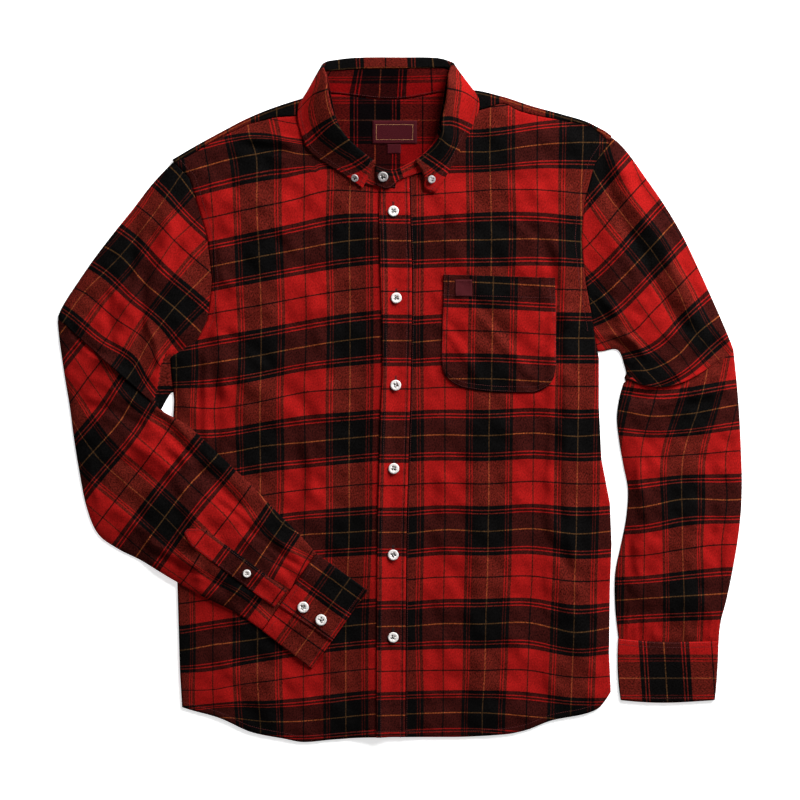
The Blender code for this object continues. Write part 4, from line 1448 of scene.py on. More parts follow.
# The weft's run round the collar; the warp's is worked out from the distance to the roll.
LEAF_PINS = rows_of(
    Pin, (-72, 404, 0, 0), (-17, 404, 0, 0.5), (39, 404, 0, 1), (-72, 392, 0, 0), (-17, 392, 0, 0.5),
    (39, 392, 0, 1), (-123, 342, 0, -0.5), (-114, 348, 0, -0.5), (-104, 358, 0, -0.5), (-87, 364, 0, -0.5),
    (-81, 327, 0, -0.78), (-111, 305, 0, -0.78), (-81, 323, 0, -0.815), (-104, 304, 0, -0.815),
    (-60, 306, 0, -1), (-94, 283, 0, -1), (-41, 288, 0, -1.185), (-57, 278, 0, -1.185), (-38, 285, 0, -1.22),
    (-70, 269, 0, -1.22), (55, 365, 0, 1.5), (68, 364, 0, 1.5), (76, 361, 0, 1.5), (92, 353, 0, 1.5),
    (49, 327, 0, 1.78), (58, 329, 0, 1.78), (83, 320, 0, 1.78), (50, 323, 0, 1.815), (81, 315, 0, 1.815),
    (49, 306, 0, 2), (55, 302, 0, 2), (70, 295, 0, 2), (30, 289, 0, 2.2), (58, 271, 0, 2.2),
)


@dataclass
class Collar:
    """The stand and the buttoned-down leaf."""

    room: Workroom
    roll_gap: float = 3.4
    tall: float = 6.0
    stand_wall: float = 1.3
    leaf_wall: float = 1.1
    left_tip: float = 9.0
    leaf_pitch: float = 2.2
    back_x: float = -23.6
    seam_shares: tuple = (1.0, 0.8, 0.6, 0.4, 0.2)
    stand_top: float = 11.0
    gold_at: Edge = Edge(((-190, -8), (-165, -2), (-140, 4.7), (-112, 4.7), (-75, -13), (75, -13),
                          (94, 1), (126, 1), (160, 4), (200, 4)))
    swell: float = 10.0
    stand_weft: Edge = Edge(((-260, -246), (-80, -76.3), (0, 0), (80, 76.3), (251, 225.2)), Bend.STRAIGHT)

    def side_rise(self, y: Array) -> Array:
        """How much more the collar's sides stand up than its front and its back."""
        return self.tall * smooth((y - 287) / 34) * (1 - smooth((y - 372) / 20))

    def stand(self) -> Sheet:
        """The band round the neck, with its two ends lapped at the front."""
        rows = resampled(between(STAND, 12), 2.4, slice(3, 5))
        rows[:, 5] += self.side_rise(rows[:, 4])
        share = np.linspace(0, 1, 15)[None, :, None]
        low, up = rows[:, None, 0:3], rows[:, None, 3:6]
        points = low + (up - low) * share
        points[..., 2] += 0.5 * np.sin(math.pi * share[..., 0])
        travel = travelled(rows[:, 3:5])
        middle = np.argmin(abs(rows[:, 3] - self.back_x) + 1000 * (rows[:, 4] < 380))
        along = travel - travel[middle]
        height = np.linalg.norm(up - low, axis=2)
        top = self.stand_top - 10 * smooth((-along - 120) / 60) + 9 * smooth((along - 120) / 60)
        across = top[:, None] + height * (1 - share[..., 0])
        woven = self.stand_weft(along)
        weave = np.stack((across, np.broadcast_to(woven[:, None], across.shape)), 2) * MM
        # Faces beyond y = 300, the stand's sides and back, are marked for painted shade.
        inside = np.where(points[:-1, :-1, 1] > 300, 1, 0)
        sheet = Sheet("collar_stand_cloth", points, [weave, weave], inside, inner=(1,))
        made = sheet.build(self.room.finishes.plaid, self.stand_wall, 0.0)
        self.room.sheet(made, ["collar_stand"], (0.46, 0.036), "folded", ["yoke_cloth"], 0.0125)
        return sheet

    def leaf(self) -> Sheet:
        """Each row runs from the stand's edge round the roll and out to the free edge."""
        rows = resampled(between(LEAF, 12), self.leaf_pitch)
        rows[:, 4] += self.side_rise(rows[:, 1])
        radius = self.roll_gap / 2
        turns = np.linspace(0, math.pi, 9)[:-1]
        crown, flat = len(self.seam_shares) + len(turns) // 2, len(self.seam_shares) + len(turns)
        places = []
        for row in rows:
            leaf = Leaf(*row)
            out = Vector((leaf.fx - leaf.rx, leaf.fy - leaf.ry, 0))
            length = out.length
            out.normalize()
            side = 1 if leaf.rx < self.room.form.centre_x else -1
            inward = Vector((-out.y, out.x, 0)) * side
            angle = math.radians(leaf.turn)
            seat = inward * math.cos(angle) + Vector((0, 0, math.sin(angle)))
            roll = Vector((leaf.rx, leaf.ry, leaf.roll))
            line = [roll + out * (radius + (leaf.seam - radius) * far) + seat * radius
                    for far in self.seam_shares]
            for turn in turns:
                line.append(roll + out * radius * (1 - math.sin(turn)) + seat * radius * math.cos(turn))
            start = roll + out * radius - seat * radius
            drop = leaf.free - start.z
            for far in eased(20, 0.3):
                place = start + out * (length - radius) * far
                place.z = start.z + drop * (0.5 * far + 0.5 * float(smooth(far)))
                line.append(place)
            places.append([tuple(place) for place in line])
        points = np.array(places)
        near_end = smooth(1 - np.arange(len(rows))[::-1] * self.leaf_pitch / 18)[:, None]
        far = np.clip(np.arange(points.shape[1]) - flat + 1, 0, None) / (points.shape[1] - flat)
        broad = np.exp(-((far - 0.82) / 0.22) ** 2) * smooth((1 - far) / 0.12)
        points[..., 0] -= self.left_tip * near_end * broad
        step = np.linalg.norm(np.diff(points, axis=1), axis=2)
        travel = np.concatenate((np.zeros((len(points), 1)), np.cumsum(step, axis=1)), 1)
        across = travel - travel[:, crown:crown + 1]
        run = travelled(rows[:, :2])
        middle = np.argmin(abs(rows[:, 0] + 17) + 1000 * (rows[:, 1] < 400))
        along = np.broadcast_to((run - run[middle])[:, None], across.shape)
        # A pin's place on the leaf is that of the nearest point that faces up.
        faces_up = np.arange(points.shape[1]) >= crown
        back = rows[:, 1] > 398.5
        seen = np.where(back[:, None], ~faces_up[None, :], faces_up[None, :])
        spots, wefts = [], []
        for pin in LEAF_PINS:
            away = (points[..., 0] - pin.x) ** 2 + (points[..., 1] - pin.y) ** 2 + 1e6 * ~seen
            spot = np.unravel_index(np.argmin(away), away.shape)
            spots.append((along[spot], across[spot]))
            wefts.append((pin.weft,))
        weft = Pinned(np.array(spots), np.array(wefts))(along, across)[..., 0]
        shift = self.gold_at(along)
        swell = self.swell * smooth((along - 75) / 18)
        bulge = swell * (np.exp(-np.maximum(shift, 0) / 5) - np.exp(-np.maximum(across, 0) / 5))
        weave = SETT.metres(np.stack(((across - shift + bulge) / SETT.warp, weft), 2))
        sheet = Sheet("collar_leaf_cloth", points, [weave])
        made = sheet.build(self.room.finishes.plaid, self.leaf_wall, 0.0)
        self.room.sheet(made, ["collar_leaf"], (0.50, 0.062), "folded", ["collar_stand_cloth"], 0.0245)
        return sheet

    def build(self) -> None:
        """Makes the stand and the leaf, then their stitches."""
        stand = self.stand()
        leaf = self.leaf()
        top = self.leaf_wall / 2 + 0.05
        self.room.sew("collar_stitches", [
            leaf.inset("last", 5.5, top), leaf.inset("head", 5.0, top)[14:],
            leaf.inset("foot", 5.0, top)[14:], stand.inset("first", 1.6, 0.7)])


# ================================================================ sleeves
SLEEVE_RIGHT = rows_of(
    Station, (-268, 282, -267, 9, 0, 0), (-279, 271, -270, 7.5, 0, 0), (-295, 253, -272, 5.5, 0, 0),
    (-316, 225, -274, 3, 0, 0.4), (-340, 195, -276, 0, 0, 0.8), (-362, 166, -277.5, -3, 0, 0.8),
    (-384, 134, -279, -6, 0, 1.2), (-398, 112, -280, -8, 0, 2.0), (-404, 99, -281, -10, 0, 2.6),
    (-404.5, 92, -281, -13, 0, 0.1), (-402, 68, -276, -16, 0, 0.2), (-396.2, 28, -268, -20, 0, 0.6),
    (-390.2, -8, -260, -24, 0, 0.8), (-385.2, -46, -252, -29, 0, 0.9), (-379, -84, -243, -36, 0, 0.9),
    (-370.5, -126, -232, -46, 0, 0.8), (-357, -158, -218, -60, 0, 0.8), (-333, -176, -203, -74, 0, 0.6),
    (-305, -190, -186, -90, 0, 0.6), (-270, -211, -166, -110, 0, 0.5), (-232, -232, -146, -131, 0, 0.4),
    (-195, -250, -122, -155, 0, 0.2), (-162.4, -271.4, -99.4, -180.4, 0, 0),
)
SLEEVE_LEFT = rows_of(
    Station, (250, 311, 236, 57, 0, 0), (259, 304, 242, 58, 0, 0), (272, 289, 249, 60, 0, 0.3),
    (290, 263, 255, 60, 0, 0.8), (312, 231, 259, 57, 0, 1.0), (334, 194, 262, 51, 2, 1.0),
    (354, 152, 264, 44, 6, 0.9), (373, 110, 266, 37, 12, 1.4), (386, 80, 267, 31, 18, 2.0),
    (394, 60, 265, 27, 22, 2.6), (395, 50, 264, 20, 21, 0.1), (398, 20, 259, 2, 12, 0.2),
    (401, -18, 256, -22, 5, 0.7), (403, -60, 259, -50, 0, 0.9), (404, -95, 264, -78, 0, 1.0),
    (403, -130, 269, -106, 0, 0.9), (399, -166, 267, -139, 0, 0.8), (393, -201, 261, -170, 0, 0.8),
    (386, -235, 254, -205, 0, 0.6), (379, -262, 254, -244, 0, 0.3), (376.6, -284.2, 257.8, -281, 2.2, 0),
    (376.3, -287.4, 258.2, -284.4, 2.4, 0),
)
UPPER_RIGHT_PINS = crossings(
    (0, (-260, 264, 1), (-242, 240, 0.72), (-270, 274, 1.14)),
    (0.5, (-310, 229, 1.26), (-293, 216, 1), (-266, 188, 0.5), (-225, 152, 0)),
    (1, (-350, 182, 1.26), (-330, 170, 1), (-300, 137, 0.5), (-266, 109, 0), (-232, 77, -0.44)),
    (1.5, (-385, 133, 1.14), (-373, 127, 1), (-333, 94, 0.5), (-297, 67, 0), (-288, 47, -0.22)),
    (1.755, (-389, 105, 1), (-347, 71, 0.5), (-309, 45, 0)),
)
FOREARM_RIGHT_PINS = crossings(
    (2, (-396, 85, 0.62)),
    (2.5, (-368, 26, 0.5), (-335, 67, 1), (-389, -2, 0.1)),
    (3, (-362, -61, 0), (-378, -79, -0.22), (-330, -25, 0.5), (-301, 24, 1.1)),
    (3.5, (-321, -100, 0), (-345, -131, -0.4), (-290, -60, 0.5), (-267, -25, 0.86)),
    (4, (-277, -138, 0), (-303, -173, -0.45), (-247, -99, 0.5), (-217, -67, 0.9)),
    (4.5, (-235, -181, 0), (-248, -203, -0.355), (-203, -139, 0.5), (-177, -103, 0.95)),
    (4.71, (-221, -209, -0.209)),
    (5, (-191, -224, -0.209), (-208, -243, -0.45)),
    (5.15, (-177, -233.6, -0.209)),
    (5.35, (-160.5, -249, -0.209)),
    (5, (-163, -183, 0.5), (-140, -149, 0.96)),
    (5.5, (-147.5, -260.8, -0.209), (-111, -189, 0.72)),
)
UPPER_LEFT_PINS = crossings(
    (0, (232, 283, -0.08), (250, 304, -0.3)),
    (0.5, (286, 256, -0.5), (258, 225, 0), (224, 185, 0.5)),
    (1, (322, 208, -0.5), (295, 179, 0), (260, 142, 0.5), (234, 119, 0.92)),
    (1.5, (350, 156, -0.5), (326, 132, 0), (293, 99, 0.5), (275, 81, 0.76)),
    (2, (378, 100, -0.42), (350, 78, 0), (330, 55, 0.5), (290, 35, 1), (268, 34, 1.24)),
)
FOREARM_LEFT_PINS = crossings(
    (3, (350, -15, 0), (295, -19, -0.5), (261, -13, -0.8), (398, -6, 0.5)),
    (2.66, (361, 28, 0)),
    (3.5, (334, -65, 0), (284, -67, -0.5), (385, -61, 0.5)),
    (4, (332, -117, 0), (287, -126, -0.5), (386, -118, 0.5)),
    (4.5, (333, -176, 0), (288, -183, -0.5), (376, -171, 0.46)),
    (5, (335, -231, 0), (287, -234, -0.5), (373, -229, 0.42)),
    (5.4, (335, -276, 0), (287, -278, -0.5), (369, -275, 0.4)),
)
RIGHT_SLEEVE_FOLDS = rows_of(
    Crease, (-216, -118, -172, -156, 5, -2.4, -2), (-172, -156, -116, -197, 5, -2.6, 2),
    (-206, -122, -168, -146, 8, 1.6, -2), (-153, -122, -118, -165, 5, -1.8, 2),
    (-302, -8, -243, -67, 12, -3.4), (-245, -65, -184, -134, 12, -3.4), (-186, -132, -138, -180, 8, -2.4),
    (-288, 2, -172, -118, 8, 1.8), (-272, 234, -292, 128, 18, 3.0, -4), (-312, 214, -322, 140, 11, -2.4, -2),
    (-300, 150, -306, 70, 10, -2.6, 2), (-358, 53, -322, 27, 9, 2.8), (-300, -165, -228, -202, 9, 2.8),
    (-262, 70, -268, 24, 9, -2.8), (-262, 212, -297, 160, 11, 2.6, -5), (-297, 160, -330, 84, 11, 2.7, 4),
    (-258, 196, -276, 156, 8, -2.4, -2), (-342, 122, -338, 60, 9, -2.1, 3), (-372, 150, -392, 108, 8, 1.6, 2),
    (-300, 120, -310, 60, 9, -1.6, -2), (-284, 40, -300, 96, 7, 1.8, 3), (-390, 86, -352, 52, 8, -1.8, 3),
    (-290, -14, -352, 24, 9, 1.9, -4), (-300, -34, -372, -4, 10, -1.9, 4), (-319, -47, -262, -92, 11, 3, -3),
    (-330, -72, -258, -116, 10, -2.2, -4), (-366, -60, -352, -130, 11, 1.9, 5),
    (-340, -120, -290, -158, 10, 1.9, 4), (-276, -60, -226, -92, 8, -1.6, 3),
    (-300, -176, -230, -206, 8, -1.6, 3), (-215, -110, -160, -158, 9, 1.8, 3),
    (-250, -120, -200, -176, 9, -1.6, -3), (-190, -222, -150, -240, 5, 1.4),
    (-170, -170, -130, -204, 5, -1.3, 1), (-150, -160, -118, -186, 4, 1.3),
    (-186, -196, -142, -224, 5, 1.3, 1),
)
LEFT_SLEEVE_FOLDS = rows_of(
    Crease, (252, 290, 310, 180, 18, 4.8, 4), (308, 186, 360, 80, 16, 4.8, 3),
    (234, 278, 288, 170, 10, -3.0, 4), (287, 172, 336, 80, 10, -3.2, 3), (254, 6, 298, 2, 9, -3.0, -3),
    (296, 4, 366, 58, 11, -4.0, 6), (322, 0, 394, 20, 10, 2.6, 3), (276, -70, 292, -150, 14, 2.8),
    (258, 84, 290, 50, 6, 3.2, -2), (248, 74, 274, 50, 7, -3.2, -2), (338, 40, 402, 84, 16, -4.5, 3),
    (236, 128, 262, 96, 9, 2.6, 2), (286, -150, 280, -240, 13, 2.4, 3), (301, -86, 303, -236, 26, 2.6, 3),
    (371, -84, 368, -198, 11, -2.6, 2), (228, 77, 281, 66, 8, 2.4, -4), (236, 64, 276, 50, 6, -1.9, -3),
    (240, 200, 286, 120, 11, 1.6, -6), (236, 130, 290, 92, 9, -1.4, -3), (300, 70, 346, 100, 8, 1.6, 3),
    (276, 2, 344, 30, 8, -2.1, 3), (268, -14, 330, -4, 9, 1.6, -3), (372, 34, 340, -20, 9, 1.8, 4),
    (396, -40, 380, -110, 9, -1.6, 4), (284, -60, 268, -128, 9, 1.8, -4), (382, -150, 378, -214, 9, -2.4, 3),
    (268, -150, 280, -220, 8, -1.9, 3), (322, -60, 312, -190, 14, 1.4, 7),
    (350, -100, 352, -220, 11, -1.3, -5), (272, -240, 268, -282, 4, 1.4, 1),
    (284, -246, 283, -284, 4, -1.4, 1), (300, -254, 301, -284, 4, 1.1), (318, -250, 317, -284, 4, -1.1),
    (338, -252, 340, -284, 4, 1.3, 1), (356, -250, 355, -284, 4, -1.3), (368, -244, 366, -284, 4, 1.1),
)
ELBOW_LIP = rows_of(
    Lip, (0.5, 1.2, 3.5, 1.2), (1.0, 2.1, 3.0, 2.3), (1.5, 2.3, 2.0, 3.2), (2.0, 1.4, 1.0, 4.4),
    (2.5, -0.6, 0.6, 6.4), (3.0, -3.6, 0.45, 9.4),
)
ARMPIT = Edge((                         # (y, x): where the right sleeve turns in under its armhole
    (-12, -294), (1, -291.5), (14, -287), (30, -284.5), (42.5, -282), (55.5, -276), (62, -270),
), Bend.STRAIGHT)
ELBOW_START = rows_of(Lip, (3.5, -2.8, 0.15, 0), (4.5, 0.4, 0.05, 0), (5.5, 3.4, 0.0, 0))


@dataclass
class Sleeve:
    """A flattened sleeve: an open tube whose upper arm laps over the forearm at the elbow."""

    room: Workroom
    name: str
    stations: tuple
    lap: int
    armhole: Edge
    seam_gap: float
    upper_pins: tuple
    lower_pins: tuple
    folds: tuple
    bed: Height
    cut: tuple
    area: float
    rests_on: tuple
    wall: float = 0.9
    edge_round: float = 8.0
    puff: float = 5.0
    lap_fade: float = 30.0
    turned_in: Optional[Edge] = None
    tuck: float = 0.0
    pitch: float = 3.0
    columns: int = 62
    under_columns: int = 20
    armhole_stations: int = 4

    def rows(self) -> tuple:
        """All rows of the tube.

        Returns:
            Station rows with their station's number, the lips' rows, and the row after which the
            lower weave runs.
        """
        count = len(self.stations)
        numbered = np.column_stack((np.array(self.stations), np.arange(count)))
        upper = resampled(between(numbered[:self.lap + 1], 16), self.pitch)
        lower = resampled(between(numbered[self.lap + 1:], 16), self.pitch)
        lap_row = upper[-1]
        rows = list(upper) + [lap_row] * (len(ELBOW_LIP) + len(ELBOW_START)) + list(lower)
        none = Lip(0, 0, -1, 0)
        lips = [none] * len(upper) + list(ELBOW_LIP) + list(ELBOW_START) + [none] * len(lower)
        return np.array(rows), np.array(lips, float), len(upper) + len(ELBOW_LIP)

    def spots(self, rows: Array, parts: Array) -> Array:
        """The plan of the tube's points.

        Args:
            rows: Station rows with their numbers.
            parts: Shares across, for each row.

        Returns:
            Rows, columns, 2.
        """
        ox, oy, ix, iy, bow, _, number = (rows[:, None, k] for k in range(7))
        x = ox + (ix - ox) * parts
        y = oy + (iy - oy) * parts - bow * np.sin(math.pi * parts) * (0.7 + 0.6 * parts)
        first = self.stations[0]
        leave = np.minimum(number / self.armhole_stations, 1.0)
        level = first.oy + (first.iy - first.oy) * parts
        seam_x = self.armhole(level) + self.seam_gap
        shift_x = x - (first.ox + (first.ix - first.ox) * parts)
        soft = smooth(leave)
        lagged = y + (level + (y - level) * leave - y) * smooth(parts / 0.25)
        return np.stack(((1 - soft) * (seam_x + shift_x) + soft * x, (1 - soft) * lagged + soft * y), 2)

    def grid(self) -> tuple:
        """Works out the tube.

        Returns:
            Points, weaves, and the choice of weave for each face.
        """
        form = self.room.form
        rows, lips, split = self.rows()
        count = len(rows)
        width = np.hypot(rows[:, 2] - rows[:, 0], rows[:, 3] - rows[:, 1])[:, None]
        toward = np.stack((-(rows[:, 3] - rows[:, 1]), rows[:, 2] - rows[:, 0]), 1) / width
        ahead = rows[-1, :2] + rows[-1, 2:4] - rows[0, :2] - rows[0, 2:4]
        toward *= np.where((toward @ ahead) > 0, 1, -1)[:, None]
        thick = 2 * form.cloth + form.gap
        half = thick / 2
        parts = np.broadcast_to(eased(self.columns, 0.5)[None, :], (count, self.columns))
        top = self.spots(rows, parts)
        edge = np.minimum(parts, 1 - parts) * width
        fade = smooth(parts * width / self.lap_fade)
        inner = smooth(edge / 12) * fade
        in_lip = lips[:, 2] >= 0
        after = rows[np.argmax(np.arange(count) > split + len(ELBOW_START)), :2] - rows[split, :2]
        after = after / np.linalg.norm(after)
        heading = after + (toward[:, None, :] - after) * fade[..., None]
        move = (lips[:, 0:1] + (lips[:, 1:2] - lips[:, 0:1]) * inner) * in_lip[:, None]
        seen = top + heading * move[..., None]
        virtual = top + heading * ((move + (lips[:, 3:4] - move) * fade) * in_lip[:, None])[..., None]
        full = np.where(in_lip[:, None], rows[:, 5:6] * 0.4 + (lips[:, 2:3] - rows[:, 5:6] * 0.4) * fade,
                        rows[:, 5:6])
        grow = self.puff * smooth(np.minimum(np.arange(count), np.arange(count)[::-1]) * self.pitch / 45)
        bulge = np.sqrt(1 - (1 - np.clip(edge / self.edge_round, 0, 1)) ** 2)
        crown = np.sin(math.pi * parts) ** 0.75
        fold = form.folds(seen[..., 0], seen[..., 1], self.folds) * smooth(edge / 16)
        wave = form.undulation(seen[..., 0] * 1.4, seen[..., 1] * 1.4) * 0.7 * smooth(edge / 20)
        end = smooth(np.arange(count)[::-1] * self.pitch / 9)[:, None]
        start = smooth(np.arange(count) * self.pitch / 7)[:, None]
        lifted = full * crown + grow[:, None] * crown + np.maximum(fold + wave * end, -3.2) * start
        under = self.bed(seen[..., 0], seen[..., 1])
        z = under + half + (half + np.maximum(lifted, -0.7)) * bulge - 0.5 * (1 - start) * bulge
        last = smooth(np.arange(count)[::-1] * self.pitch / 7)[:, None]
        z -= self.tuck * (1 - last) * (1 + np.maximum(fold, 0)) * bulge
        if self.turned_in is not None:
            inward = smooth((seen[..., 0] - self.turned_in(seen[..., 1]) + 1) / 3)
            inward = inward * smooth((60 - seen[..., 1]) / 8)
            sunk = z - 2.4 * inward * bulge * (np.arange(count) <= split)[:, None]
            z = np.maximum(sunk, np.minimum(z, under + thick - 0.3))
        upper = np.concatenate((seen, z[..., None]), 2)
        shift = (lips[:, 0] * in_lip)[:, None]
        inset = half / width
        ring = rolled(inset, half, (35, 65), True)
        ring += [(inset + (1 - 2 * inset) * part, 0.0) for part in eased(self.under_columns, 0.3)[::-1]]
        ring += rolled(inset, half, (65, 35), False)
        below = np.concatenate([part for part, _ in ring], 1)
        away = smooth(below * width / self.lap_fade)[..., None]
        plan = self.spots(rows, below) + (after + (toward[:, None, :] - after) * away) * shift[..., None]
        height = self.bed(plan[..., 0], plan[..., 1]) + np.array([rise for _, rise in ring])[None, :]
        points = np.concatenate((upper, np.concatenate((plan, height[..., None]), 2)), 1)
        weaves = []
        for pins, rows_at in ((self.upper_pins, virtual), (self.lower_pins, seen)):
            surface = Pinned.cloth(pins)
            over = surface(rows_at[..., 0], rows_at[..., 1])
            back = surface(plan[..., 0], plan[..., 1])
            back[..., 0] = 2 * over[:, :1, 0] - back[..., 0]
            weaves.append(SETT.metres(np.concatenate((over, over[:, -1:] + 0 * back), 1)))
            weaves.append(SETT.metres(np.concatenate((over[:, :1] + 0 * over, back), 1)))
        under_side = np.arange(points.shape[1]) >= self.columns - 1
        choice = np.where(under_side, 1, 0)[None, :] + 2 * (np.arange(count - 1) >= split)[:, None]
        if self.turned_in is not None:
            x, y = points[..., 0], points[..., 1]
            choice[((x > self.turned_in(y)) & (y < 56))[:-1] & (choice == 0)] = len(weaves)
            weaves.append(np.stack((10 + 0.5 * (x + 280), 13.1 + y), 2) * MM)
        return points, weaves, choice

    def build(self) -> Sheet:
        """Makes the tube.

        Returns:
            Its upper side.
        """
        points, weaves, choice = self.grid()
        sheet = Sheet(self.name + "_cloth", points, weaves, choice, closed=True,
                      turned=self.stations[0].ox < 0)
        made = sheet.build(self.room.finishes.plaid, self.wall)
        self.room.sheet(made, [self.name], self.cut, "laid", self.rests_on, self.area)
        return Sheet(self.name + "_top", points[:, :self.columns], weaves)


@dataclass
class SleevePlacket:
    """The pointed strip over the right sleeve's opening."""

    room: Workroom
    sleeve: Sheet
    tip: tuple = (-252, -154)
    end: tuple = (-142, -236)
    half: float = 15.0
    lower_half: float = 10.5
    point: float = 15.0
    gold_at: float = 76.0
    wall: float = 1.2
    stitch: float = 2.2

    def build(self) -> Sheet:
        """Makes the strip with its stitched edges."""
        form = self.room.form
        tip, end = np.array(self.tip, float), np.array(self.end, float)
        length = np.linalg.norm(end - tip)
        along = (end - tip) / length
        aside = np.array((along[1], -along[0]))
        far, part = np.meshgrid(np.concatenate((np.linspace(0, 18, 10)[:-1], np.linspace(18, length, 50))),
                                eased(17, 0.4) * 2 - 1, indexing="ij")
        half = 3 + (np.where(part > 0, self.lower_half, self.half) - 3) * np.minimum(far / self.point, 1.0)
        plan = tip + along * far[..., None] + aside * (half * part)[..., None]
        side = np.minimum((1 - abs(part)) * half, far)
        z = self.sleeve.rest(plan) + form.gap + self.wall - 0.4 * (1 - smooth(side / 2.5))
        z += 0.12 * np.sin(far / 2.4) * np.exp(-((side - 2.5) / 2) ** 2)
        weave = np.stack((38 + half * part * 0.9, far - self.gold_at), 2) * MM
        sheet = Sheet("sleeve_placket_cloth", np.concatenate((plan, z[..., None]), 2), [weave])
        made = sheet.build(self.room.finishes.plaid, self.wall)
        self.room.sheet(made, ["sleeve_placket_right"], (length * MM, 0.03), "laid", ["sleeve_right_cloth"])
        lines = [sheet.inset("first", self.stitch), sheet.inset("last", self.stitch),
                 sheet.inset("foot", self.stitch)[3:-3]]
        self.room.sew("placket_stitches", lines)
        return sheet


